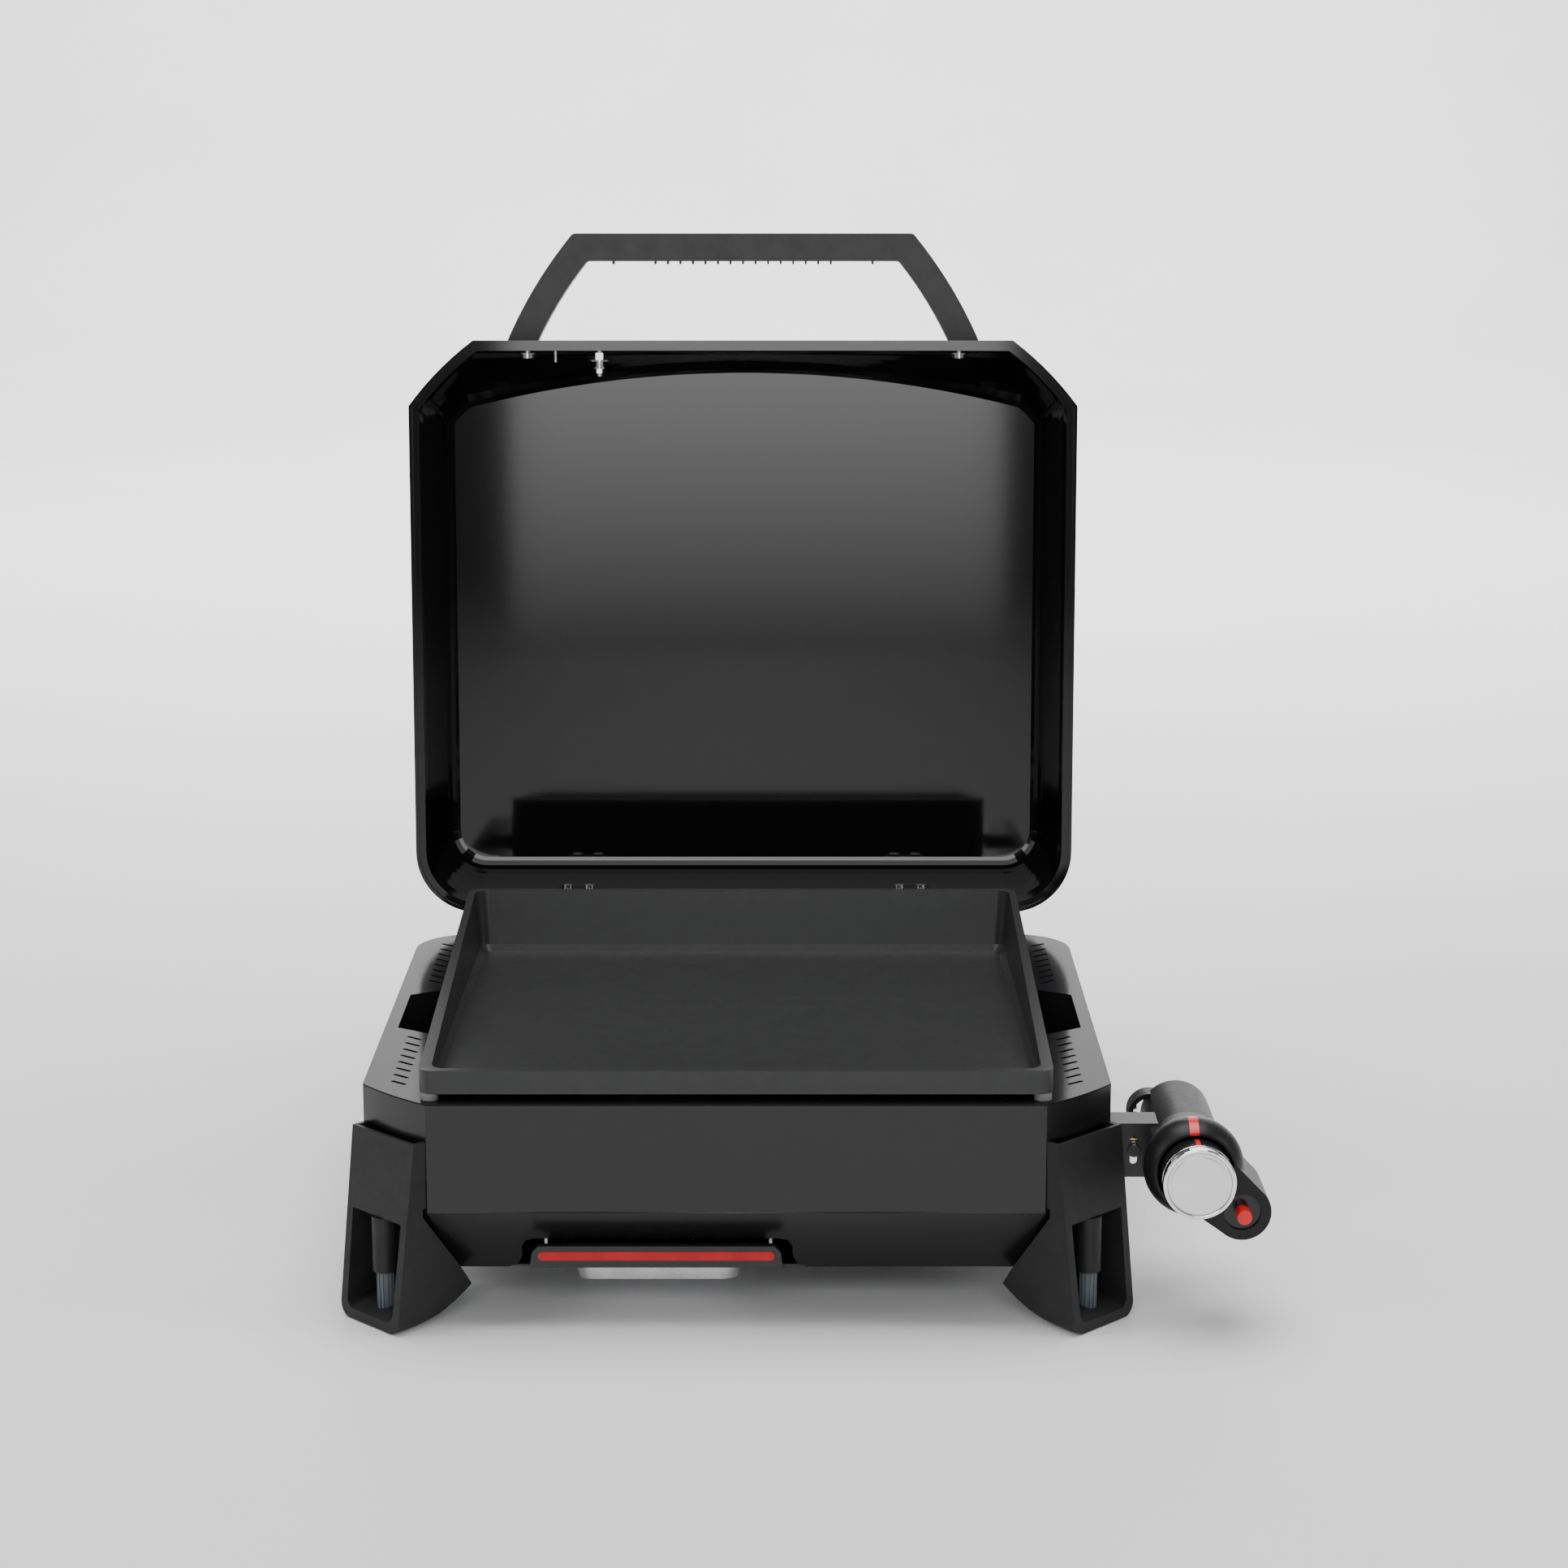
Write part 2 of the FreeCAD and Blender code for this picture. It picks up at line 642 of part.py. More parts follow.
def handle_screws():
    screws = []
    for x in HANDLE_SCREW_X:
        washer = tube(V(x, INNER_WALL_Y + 0.7, HANDLE_Z), Y_AXIS, 7.5, 3.0, 1.1)
        head = rod(V(x, INNER_WALL_Y + 1.8, HANDLE_Z), Y_AXIS, 5.5, 3.2)
        shank = rod(V(x, -19, HANDLE_Z), Y_AXIS, 3.0, 19 + INNER_WALL_Y + 1.8)
        screws.append(fuse_all([washer, head, shank]))
    return Part.makeCompound(screws)


BADGE_STUD_X = -116.8
BADGE_PIN_X = -152.5
BADGE_Z = RIM_Z + 34.0


def lid_badge():
    """A blank plate on the lid's front wall."""
    plate = box(-161, -108, -1.9, 6, BADGE_Z - 8, BADGE_Z + 8)
    plate = round_along(plate, Y_AXIS, 4).cut(lid_outer())
    holes = [rod(V(BADGE_STUD_X, -10, BADGE_Z), Y_AXIS, 2.5 + FIT, 30)]
    holes.append(rod(V(BADGE_PIN_X, -10, BADGE_Z), Y_AXIS, 1.5 + FIT, 30))
    return plate.cut(holes)


def badge_stud():
    """Rivet head, plain round core and square shank, running inwards through the wall."""
    head = rod(V(BADGE_STUD_X, -3.1, BADGE_Z), Y_AXIS, 4.0, 1.2)
    core = rod(V(BADGE_STUD_X, -2, BADGE_Z), Y_AXIS, 2.5, 25.5)
    x, z = BADGE_STUD_X, BADGE_Z
    shank = box(x - 3, x + 3, INNER_WALL_Y + 1.0, 10.0, z - 3, z + 3)
    return fuse_all([head, core, shank])


def badge_washer():
    return tube(V(BADGE_STUD_X, 10.0, BADGE_Z), Y_AXIS, 9.8, 2.5 + FIT, 1.2)


def badge_nut():
    collar = rod(V(BADGE_STUD_X, 11.2, BADGE_Z), Y_AXIS, 3.8, 5)
    flange = rod(V(BADGE_STUD_X, 16.0, BADGE_Z), Y_AXIS, 5.2, 1.4)
    points = []
    for i in range(6):
        angle = math.radians(60 * i)
        points.append((BADGE_STUD_X + 4.2 * math.cos(angle), BADGE_Z + 4.2 * math.sin(angle)))
    nut = front_prism(points, 17.0, 20.8)
    hole = rod(V(BADGE_STUD_X, 0, BADGE_Z), Y_AXIS, 2.5 + FIT, 30)
    return fuse_all([collar, flange, nut]).cut(hole)


def badge_pin():
    head = rod(V(BADGE_PIN_X, -3.1, BADGE_Z), Y_AXIS, 2.6, 1.2)
    return head.fuse(rod(V(BADGE_PIN_X, -2, BADGE_Z), Y_AXIS, 1.5, 14))


# ---------------------------------------------------------------- hinges

HINGE_SCREW_Z = (114.0, 128.0)
HINGE_SCREW_DX = 14.0
STRAP_LEVEL = 34.0
STRAP_SCREW_Z = RIM_Z + STRAP_LEVEL
STRAP_FACE_LEVEL = 20.0  # the strap stands 0.4 off the lid wall at this level
STRAP_GAP = 1.2
STRAP_SCREW_DX = 9.0
KNUCKLE_R = 6.0
KNUCKLE_HALF = 9.0
EAR_T = 5.0
EAR_GAP = 0.4
HINGE_AT = V(0, HINGE_Y, HINGE_Z)


def hinge_screw_x():
    return [side * HINGE_X + dx for side in (-1, 1) for dx in (-HINGE_SCREW_DX, HINGE_SCREW_DX)]


def strap_screw_x():
    return [side * HINGE_X + dx for side in (-1, 1) for dx in (-STRAP_SCREW_DX, STRAP_SCREW_DX)]


def hinge_bracket(side):
    """The fixed half: a plate on the back wall with two ears that hold the pin."""
    middle = side * HINGE_X
    reach = KNUCKLE_HALF + EAR_GAP + EAR_T
    pieces = [box(middle - 20, middle + 20, DECK_D, DECK_D + 3, 108, 155)]
    for sign in (-1, 1):
        near = middle + sign * (KNUCKLE_HALF + EAR_GAP)
        far = middle + sign * reach
        x0, x1 = min(near, far), max(near, far)
        ear = side_prism([(DECK_D + 1, 134), (HINGE_Y + 4, HINGE_Z - 4.5), (HINGE_Y, HINGE_Z + 4),
                          (DECK_D + 1, HINGE_Z - 0.5)], x0, x1)
        pieces.append(ear)
        pieces.append(rod(V(x0, HINGE_Y, HINGE_Z), X_AXIS, KNUCKLE_R, x1 - x0))
    bracket = fuse_all(pieces)
    cutters = [rod(V(middle - reach - 1, HINGE_Y, HINGE_Z), X_AXIS, PIN_R, 2 * reach + 2)]
    for dx in (-HINGE_SCREW_DX, HINGE_SCREW_DX):
        for z in HINGE_SCREW_Z:
            cutters.append(rod(V(middle + dx, DECK_D - 5, z), Y_AXIS, 2.5 + FIT, 20))
    return bracket.cut(cutters)


def hinge_pins():
    reach = KNUCKLE_HALF + EAR_GAP + EAR_T
    pins = []
    for side in (-1, 1):
        start = V(side * HINGE_X - reach, HINGE_Y, HINGE_Z)
        pin = rod(start, X_AXIS, PIN_R, 2 * reach)
        for x in (start.x - 2, start.x + 2 * reach):
            pin = pin.fuse(rod(V(x, HINGE_Y, HINGE_Z), X_AXIS, 4.5, 2))
        pins.append(pin.removeSplitter())
    return Part.makeCompound(pins)


def hinge_strap(side):
    """The moving half, closed: a knuckle on the pin and an arm over the lid's rim."""
    middle = side * HINGE_X
    x0, x1 = middle - KNUCKLE_HALF, middle + KNUCKLE_HALF
    arm_z = RIM_Z + RIM_T + 3
    face = DECK_D - lid_inset(STRAP_FACE_LEVEL) + 0.4
    pieces = [
        rod(V(x0, HINGE_Y, HINGE_Z), X_AXIS, KNUCKLE_R, x1 - x0),
        box(x0, x1, HINGE_Y - 2.5, HINGE_Y + 2.5, HINGE_Z, arm_z + 4),
        box(x0, x1, face, HINGE_Y + 2.5, arm_z, arm_z + 4),
        box(middle - 15, middle + 15, face, face + 3, arm_z, RIM_Z + STRAP_LEVEL + 12),
    ]
    cutters = [rod(V(x0 - 1, HINGE_Y, HINGE_Z), X_AXIS, PIN_R + FIT, x1 - x0 + 2)]
    for dx in (-STRAP_SCREW_DX, STRAP_SCREW_DX):
        cutters.append(rod(V(middle + dx, face - 5, STRAP_SCREW_Z), Y_AXIS, 2.5 + FIT, 30))
    return fuse_all(pieces).cut(cutters + [lid_outer()])


def strap_plates():
    """Backing plates inside the lid, behind the straps."""
    plates = []
    for side in (-1, 1):
        middle = side * HINGE_X
        inner_face = DECK_D - lid_inset(STRAP_LEVEL) - LID_T - STRAP_GAP
        low = STRAP_SCREW_Z - 9
        plate = box(middle - 17, middle + 17, inner_face - 2, inner_face, low, low + 18)
        holes = []
        for dx in (-STRAP_SCREW_DX, STRAP_SCREW_DX):
            hole_at = V(middle + dx, inner_face - 10, STRAP_SCREW_Z)
            holes.append(rod(hole_at, Y_AXIS, 2.5 + FIT, 30))
        plates.append(round_along(plate, Y_AXIS, 3).cut(holes))
    return Part.makeCompound(plates)


def strap_screws():
    screws = []
    inner_face = DECK_D - lid_inset(STRAP_LEVEL) - LID_T - STRAP_GAP
    outer_face = DECK_D - lid_inset(STRAP_FACE_LEVEL) + 3.4
    for x in strap_screw_x():
        head = rod(V(x, inner_face - 5, STRAP_SCREW_Z), Y_AXIS, 4.2, 3)
        shank = rod(V(x, inner_face - 2, STRAP_SCREW_Z), Y_AXIS, 2.5, outer_face - inner_face + 6)
        nut = rod(V(x, outer_face, STRAP_SCREW_Z), Y_AXIS, 4.4, 3.5)
        screws.append(fuse_all([head, shank, nut]))
    return Part.makeCompound(screws)


def hinge_screws():
    screws = []
    for x in hinge_screw_x():
        for z in HINGE_SCREW_Z:
            head = rod(V(x, DECK_D + 3, z), Y_AXIS, 4.2, 2.5)
            shank = rod(V(x, DECK_D - 5, z), Y_AXIS, 2.5, 8)
            screws.append(head.fuse(shank).removeSplitter())
    return Part.makeCompound(screws)


# ---------------------------------------------------------------- grease tray

RAIL_Z = BOX_BOTTOM_Z + WALL
RAIL_HALF = FOIL_W / 2 + 11.0
FRAME_HALF = FOIL_W / 2 + 9.0
FRAME_Z = FOIL_RIM_Z - 1.2


def tray_rails():
    """Two angle rails that the tray's edges run in, standing on the cook box floor."""
    rails = []
    back = FOIL_FRONT + FOIL_L + 12
    for side in (-1, 1):
        near = TRAY_X + side * (RAIL_HALF - 6)
        far = TRAY_X + side * (RAIL_HALF + 2)
        x0, x1 = min(near, far), max(near, far)
        foot_plate = box(x0, x1, TAPER_IN + 8, back, RAIL_Z, RAIL_Z + 1.5)
        web_x = min(TRAY_X + side * RAIL_HALF, far)
        web = box(web_x, web_x + 2, TAPER_IN + 8, back, RAIL_Z, FRAME_Z + 7)
        ledge = box(x0, x1, TAPER_IN + 8, back, FRAME_Z - 2.1, FRAME_Z - 0.6)
        rails.append(fuse_all([foot_plate, web, ledge]))
    return Part.makeCompound(rails)


def tray_frame():
    """The sliding frame that the foil liner hangs in, with a low front wall."""
    back = FOIL_FRONT + FOIL_L + 5
    frame = box(TRAY_X - FRAME_HALF, TRAY_X + FRAME_HALF, 14, back, FRAME_Z, FRAME_Z + 1.2)
    hole = box(TRAY_X - FOIL_W / 2 + 4, TRAY_X + FOIL_W / 2 - 4, FOIL_FRONT + 4,
               FOIL_FRONT + FOIL_L - 4, FRAME_Z - 5, FRAME_Z + 5)
    front = box(TRAY_X - 80, TRAY_X + 80, 12.5, 14, FRAME_Z, FRAME_Z + 11)
    return frame.cut(hole).fuse(front).removeSplitter()


def tray_handle():
    """The front bar, with a groove for the coloured stripe."""
    half = TRAY_BAR_W / 2
    points = [
        (TRAY_X - half, 39.2), (TRAY_X - half + 1.5, 50), (TRAY_X - half + 6, 54.7),
        (TRAY_X + half - 6, 54.7), (TRAY_X + half - 1.5, 50), (TRAY_X + half, 39.2),
    ]
    bar = front_prism(points, 6.0, 12.5)
    groove = stripe_block(82.5, 3.2, 5.0, 8.0)
    return bar.cut(groove)


def stripe_block(half, radius, y0, y1):
    """A long bar with round ends, the form of the stripe and of its groove."""
    z = 47.6
    run = half - radius
    pieces = [box(TRAY_X - run, TRAY_X + run, y0, y1, z - radius, z + radius)]
    for x in (TRAY_X - run, TRAY_X + run):
        pieces.append(rod(V(x, y0, z), Y_AXIS, radius, y1 - y0))
    return fuse_all(pieces)


def foil_liner():
    """A thin pan with drafted walls and a flat rim that lies on the tray's frame."""
    y0, y1 = FOIL_FRONT, FOIL_FRONT + FOIL_L
    x0, x1 = TRAY_X - FOIL_W / 2, TRAY_X + FOIL_W / 2
    top = FOIL_RIM_Z + 0.3
    thick = 0.8

    def cup(shrink, low, high):
        upper = rounded_rectangle(x0 + 5 + shrink, x1 - 5 - shrink,
                                  y0 + 5 + shrink, y1 - 5 - shrink, 12 - shrink, high)
        lower = rounded_rectangle(x0 + 11 + shrink, x1 - 11 - shrink,
                                  y0 + 11 + shrink, y1 - 11 - shrink, 10 - shrink, low)
        return Part.makeLoft([lower, upper], True, True)

    rim = Part.Face(rounded_rectangle(x0, x1, y0, y1, 14, top)).extrude(V(0, 0, thick))
    body = cup(0, FOIL_BOTTOM, top + thick).fuse(rim)
    return body.cut(cup(thick, FOIL_BOTTOM + thick, top + thick + 0.01)).removeSplitter()


# ---------------------------------------------------------------- burner and heat parts

def round_path(points, radius):
    """A wire of straight runs joined by tangent arcs of one radius."""
    edges = []
    last = points[0]
    for before, corner, after in zip(points, points[1:], points[2:]):
        into = (corner - before).normalize()
        out = (after - corner).normalize()
        turn = math.acos(max(-1.0, min(1.0, into.dot(out))))
        back_off = radius * math.tan(turn / 2)
        start = corner - into * back_off
        end = corner + out * back_off
        bisector = (out - into).normalize()
        centre_off = radius / math.cos(turn / 2)
        middle = corner + bisector * (centre_off - radius)
        edges.append(Part.LineSegment(last, start).toShape())
        edges.append(Part.Arc(start, middle, end).toShape())
        last = end
    edges.append(Part.LineSegment(last, points[-1]).toShape())
    return Part.Wire(edges)


def pipe(points, bend, radius):
    """A solid round bar along a rounded path."""
    path = round_path(points, bend)
    start = points[0]
    direction = (points[1] - points[0]).normalize()
    profile = Part.Wire([Part.Circle(start, direction, radius).toShape()])
    return path.makePipeShell([profile], True, False)


def burner_points():
    return [
        V(258, BURNER_Y, BURNER_Z), V(-150, BURNER_Y, BURNER_Z), V(-150, 320, BURNER_Z),
        V(170, 320, BURNER_Z),
    ]


def burner_tube():
    """A U-shaped steel tube, open at the gas end and closed at the other."""
    points = burner_points()
    outer = pipe(points, 40, 9.5)
    shorter = points[:-1] + [points[-1] - V(3, 0, 0)]
    inner = pipe(shorter, 40, 8.3)
    return outer.cut(inner)


def burner_saddles():
    """Bent brackets that carry the burner across the cook box floor."""
    saddles = []
    for x, y in ((60, BURNER_Y), (180, BURNER_Y), (-90, 320), (100, 320)):
        low = BOX_BOTTOM_Z + WALL
        post = box(x - 8, x + 8, y - 14, y - 12, low, BURNER_Z + 3)
        other = box(x - 8, x + 8, y + 12, y + 14, low, BURNER_Z + 3)
        seat = box(x - 8, x + 8, y - 14, y + 14, BURNER_Z - 11.5, BURNER_Z - 9.5)
        saddles.append(fuse_all([post, other, seat]))
    return Part.makeCompound(saddles)


def heat_shield():
    """A folded plate between the burner and the grease tray."""
    profile = [(110, 62), (170, 70), (230, 70), (288, 62)]
    lower = [(y, z - 1.5) for y, z in reversed(profile)]
    plate = side_prism(profile + lower, -190, 190)
    legs = []
    for x in (-186, 184.5):
        for y in (150, 240):
            legs.append(box(x, x + 1.5, y, y + 14, BOX_BOTTOM_Z + WALL, 68.5))
    return fuse_all([plate] + legs)


def grease_chute():
    """A flared spout from the deck's drain down to the tray."""
    top = DECK_Z - DECK_T

    def duct(shrink, z_low, z_high):
        wires = []
        for half_x, y0, y1, z in ((28, 27, 41, z_low), (36, 20, 44, z_high)):
            wires.append(Part.makePolygon([
                V(TRAY_X - half_x + shrink, y0 + shrink, z), V(TRAY_X + half_x - shrink, y0 + shrink, z),
                V(TRAY_X + half_x - shrink, y1 - shrink, z), V(TRAY_X - half_x + shrink, y1 - shrink, z),
                V(TRAY_X - half_x + shrink, y0 + shrink, z)]))
        return Part.makeLoft(wires, True, True)

    return duct(0, 58, top).cut(duct(1.2, 57.99, top + 0.01))


def electrode():
    """The spark electrode's ceramic body with its bent wire tip."""
    base = V(70, BURNER_Y + 26, BURNER_Z - 22)
    body = rod(base, Z_AXIS, 3.5, 30)
    tip = rod(base + V(0, 0, 30), Z_AXIS, 0.9, 8)
    hook = rod(base + V(0, 0.9, 37.1), V(0, -1, 0), 0.9, 14)
    return fuse_all([body, tip, hook])


def electrode_clip():
    """A bracket standing on the cook box floor that holds the electrode's ceramic."""
    plate = box(62, 78, BURNER_Y + 14.3, BURNER_Y + 32, BURNER_Z - 8, BURNER_Z - 6.5)
    post = box(62, 78, BURNER_Y + 14.3, BURNER_Y + 15.8, BOX_BOTTOM_Z + WALL, BURNER_Z - 6.5)
    hole = rod(V(70, BURNER_Y + 26, 0), Z_AXIS, 3.5 + FIT, 200)
    return plate.fuse(post).cut(hole).removeSplitter()


# ---------------------------------------------------------------- control unit

def control_axis(y):
    return V(AXIS_X, y, AXIS_Z)


def turned(profile, bend):
    """Turns (y, r) points round the control axis; bend lists the middles of arcs."""
    edges = []
    for index, (start, end) in enumerate(zip(profile, profile[1:])):
        a = V(AXIS_X, start[0], AXIS_Z + start[1])
        b = V(AXIS_X, end[0], AXIS_Z + end[1])
        if index in bend:
            middle = V(AXIS_X, bend[index][0], AXIS_Z + bend[index][1])
            edges.append(Part.Arc(a, middle, b).toShape())
        else:
            edges.append(Part.LineSegment(a, b).toShape())
    face = Part.Face(Part.Wire(edges))
    return face.revolve(control_axis(0), Y_AXIS, 360)


def housing_form(grow):
    """The outside of the housing: a round nose that narrows to a long barrel."""
    y = BEZEL_Y
    r = HOUSING_R + grow
    profile = [
        (y, 0), (y, 28.6 + grow), (y + 18, BEZEL_R + grow), (y + 42, 27.0 + grow),
        (y + 60, r), (HOUSING_BACK - 5, r), (HOUSING_BACK, r - 5), (HOUSING_BACK, 0), (y, 0),
    ]
    bend = {
        1: (y + 6.5, 33.0 + grow),
        2: (y + 29, 32.4 + grow),
        5: (HOUSING_BACK - 1.5, r - 1.5),
    }
    return turned(profile, bend)


def control_housing():
    """The round regulator housing with a flared bezel in front."""
    cutters = [
        rod(control_axis(BEZEL_Y - 1), Y_AXIS, 26.8, 25),
        rod(control_axis(BEZEL_Y + 20), Y_AXIS, 19.0, HOUSING_BACK - BEZEL_Y - 26),
        rod(control_axis(HOUSING_BACK - 7), Y_AXIS, 14.0, 8),
        rod(V(AXIS_X - 40, BURNER_Y, BURNER_Z), X_AXIS, 5.2, 40),
        marker_block(3.4),
    ]
    return housing_form(0).cut(cutters).removeSplitter()


def marker_block(half):
    x = AXIS_X - 1.5
    return box(x - half, x + half, BEZEL_Y - 1, BEZEL_Y + 19, AXIS_Z + 27.2, AXIS_Z + 40)


def bezel_marker():
    """The coloured off mark set into the top of the bezel."""
    return housing_form(0.4).common(marker_block(3.3)).removeSplitter()


def valve_body():
    """The brass gas valve inside the housing, with the outlet towards the burner."""
    y0 = BEZEL_Y + 42
    core = rod(control_axis(y0), Y_AXIS, 12.0, 84)
    collar = rod(control_axis(y0 + 8), Y_AXIS, 18.9, 8)
    outlet = rod(V(AXIS_X - 34, BURNER_Y, BURNER_Z), X_AXIS, 5.0, 34)
    seat = rod(control_axis(y0 - 1), Y_AXIS, 4.0 + FIT, 14)
    return fuse_all([core, collar, outlet]).cut(seat)


def diaphragm():
    disc = rod(control_axis(BEZEL_Y + 26), Y_AXIS, 18.6, 2)
    hole = rod(control_axis(BEZEL_Y + 20), Y_AXIS, 9.0, 20)
    return disc.cut(hole)


def regulator_spring():
    """A short coil spring of square wire between the diaphragm and the valve's collar."""
    start = BEZEL_Y + 29.3
    helix = Part.makeHelix(4.0, 18.0, 13.5)
    section = [V(12.6, 0, -0.9), V(14.4, 0, -0.9), V(14.4, 0, 0.9), V(12.6, 0, 0.9)]
    profile = Part.makePolygon(section + [section[0]])
    spring = Part.Wire(helix).makePipeShell([profile], True, True)
    spring.rotate(V(0, 0, 0), X_AXIS, -90)
    spring.translate(control_axis(start))
    return spring


def knob_barrel():
    """The dark knob body and the stem that turns the valve."""
    barrel = rod(control_axis(KNOB_FRONT + 6.2), Y_AXIS, 24.6, 30)
    stem = rod(control_axis(KNOB_FRONT + 30), Y_AXIS, 4.0, 48)
    solid = barrel.fuse(stem).removeSplitter()
    pointer = box(AXIS_X - 2, AXIS_X + 2, KNOB_FRONT + 8, KNOB_FRONT + 26, AXIS_Z + 24, AXIS_Z + 26)
    return solid.cut(pointer)


def knob_rim():
    """The bright ring round the knob's face."""
    ring = tube(control_axis(KNOB_FRONT + 0.6), Y_AXIS, 25.2, 22.0, 5.6)
    edges = [edge for edge in ring.Edges if abs(edge.CenterOfMass.y - KNOB_FRONT - 0.6) < 0.01]
    return ring.makeFillet(1.2, edges)


def knob_face():
    """A plain metal disc inside the bright ring."""
    disc = rod(control_axis(KNOB_FRONT + 1.4), Y_AXIS, 21.9, 4.7)
    raised = rod(control_axis(KNOB_FRONT), Y_AXIS, 19.4, 2)
    return disc.fuse(raised).removeSplitter()


def control_bracket():
    """A folded steel bracket between the cook box side and the housing."""
    side = DECK_W / 2
    top = DECK_Z - 30.0
    low = top - 39.5
    right = AXIS_X - HOUSING_R - 0.6
    flange = box(side, right + 5, PLATE_Y, PLATE_Y + 26, top - 2, top)
    plate = box(side, right, PLATE_Y, PLATE_Y + 2.5, low, top)
    wall_leaf = box(side, side + 2.5, PLATE_Y, PLATE_Y + 46, low, top)
    keep_out = rod(control_axis(PLATE_Y - 10), Y_AXIS, HOUSING_R + 0.4, 60)
    bracket = fuse_all([flange, plate, wall_leaf]).cut(keep_out)
    slot_x = side + 17.0
    middle = (top + low) / 2
    slot = box(slot_x - 2.6, slot_x + 2.6, PLATE_Y - 5, PLATE_Y + 10, middle - 8, middle + 8)
    ends = [rod(V(slot_x, PLATE_Y - 5, z), Y_AXIS, 2.6, 15) for z in (middle - 8, middle + 8)]
    gas_hole = rod(V(side - 5, BURNER_Y, BURNER_Z), X_AXIS, 7.0, 20)
    screw_holes = [rod(V(side - 5, y, z), X_AXIS, 2.5 + FIT, 20) for y, z in BRACKET_SCREWS]
    return bracket.cut([slot, gas_hole] + ends + screw_holes).removeSplitter()


def bracket_bolt():
    """The adjusting bolt in the bracket's slot, with its clamp block behind the plate."""
    x = DECK_W / 2 + 17.0
    middle = DECK_Z - 30.0 - 19.75
    head = rod(V(x, PLATE_Y - 2.4, middle), Y_AXIS, 4.4, 2.4)
    shank = rod(V(x, PLATE_Y, middle), Y_AXIS, 2.5, 12)
    nut = rod(V(x, PLATE_Y + 2.5, middle), Y_AXIS, 4.6, 4)
    return fuse_all([head, shank, nut])


def side_screws():
    """Screws through the right side wall, for the bracket and the stepped plate."""
    side = DECK_W / 2
    places = [(y, z, 2.5) for y, z in BRACKET_SCREWS] + [(y, 140.0, 2.4) for y in SIDE_PLATE_SCREWS]
    screws = []
    for y, z, thick in places:
        head = rod(V(side + thick, y, z), X_AXIS, 4.0, 2.5)
        shank = rod(V(side - 6, y, z), X_AXIS, 2.5, 6 + thick)
        screws.append(head.fuse(shank).removeSplitter())
    return Part.makeCompound(screws)


def gas_nozzle():
    """The brass jet that blows gas from the valve's outlet into the burner."""
    body = rod(V(AXIS_X - 46, BURNER_Y, BURNER_Z), X_AXIS, 6.0, 12)
    tip = rod(V(AXIS_X - 68, BURNER_Y, BURNER_Z), X_AXIS, 3.5, 23)
    bore = rod(V(AXIS_X - 70, BURNER_Y, BURNER_Z), X_AXIS, 1.0, 40)
    return body.fuse(tip).cut(bore).removeSplitter()


def inlet_collar():
    """The threaded ring in the housing's back that the gas bottle's neck screws into."""
    return tube(control_axis(HOUSING_BACK - 3.0), Y_AXIS, 13.9, INLET_R, 9.0)


def inlet_seat():
    """The seal disc with a small probe that opens the bottle's valve."""
    disc = rod(control_axis(HOUSING_BACK - 7.0), Y_AXIS, 12.0, 2)
    return disc.fuse(rod(control_axis(HOUSING_BACK - 5.5), Y_AXIS, 2.2, 2.5)).removeSplitter()


def outlet_guard():
    """A short ring beside the housing's back end, round the threaded plug."""
    ring = tube(GUARD_AT, Y_AXIS, 16.0, 12.6, 16)
    collar_space = rod(control_axis(HOUSING_BACK - 4), Y_AXIS, 14.2, 20)
    return ring.cut([housing_form(0.0), collar_space]).removeSplitter()


def guard_plug():
    """The threaded plug that points across the guard ring."""
    shank = rod(GUARD_AT + V(-12.3, 8, 0), X_AXIS, 6.5, 2.8)
    ridges = [tube(GUARD_AT + V(-11.9 + 1.3 * i, 8, 0), X_AXIS, 7.3, 6.0, 0.7) for i in range(2)]
    inside = rod(GUARD_AT - V(0, 5, 0), Y_AXIS, 12.5, 30)
    return fuse_all([shank] + ridges).common(inside)


def igniter_arm():
    """A teardrop arm from the housing down to the igniter's round end."""
    y0, y1 = IGNITER.y, IGNITER.y + 56
    round_end = rod(V(IGNITER.x, y0, IGNITER.z), Y_AXIS, ARM_END_R, y1 - y0)
    points = []
    angle = math.atan2(IGNITER.z - AXIS_Z, IGNITER.x - AXIS_X)
    normal = (-math.sin(angle), math.cos(angle))
    root = ((AXIS_X, AXIS_Z), ARM_ROOT_R)
    end = ((IGNITER.x, IGNITER.z), ARM_END_R)
    for sign, (centre, radius) in ((1, root), (1, end), (-1, end), (-1, root)):
        points.append((centre[0] + sign * normal[0] * radius, centre[1] + sign * normal[1] * radius))
    web = front_prism(points, y0, y1)
    keep_out = housing_form(0.1)
    hollow = rod(V(IGNITER.x, y0 - 1, IGNITER.z), Y_AXIS, 12.8, 15)
    back = rod(V(IGNITER.x, y0 + 13, IGNITER.z), Y_AXIS, 9.0 + FIT, 50)
    return round_end.fuse(web).cut([keep_out, hollow, back]).removeSplitter()


def igniter_seat():
    """The round plug that guides the igniter's button."""
    disc = rod(V(IGNITER.x, IGNITER.y + 2, IGNITER.z), Y_AXIS, 12.75, 10)
    hole = rod(V(IGNITER.x, IGNITER.y - 5, IGNITER.z), Y_AXIS, 5.2 + FIT, 30)
    return disc.cut([hole, housing_form(0.1)])


def piezo_body():
    """The spark unit behind the button."""
    body = rod(V(IGNITER.x, IGNITER.y + 19, IGNITER.z), Y_AXIS, 9.0, 22)
    terminal = rod(V(IGNITER.x, IGNITER.y + 41, IGNITER.z), Y_AXIS, 2.0, 5)
    return body.fuse(terminal).removeSplitter()


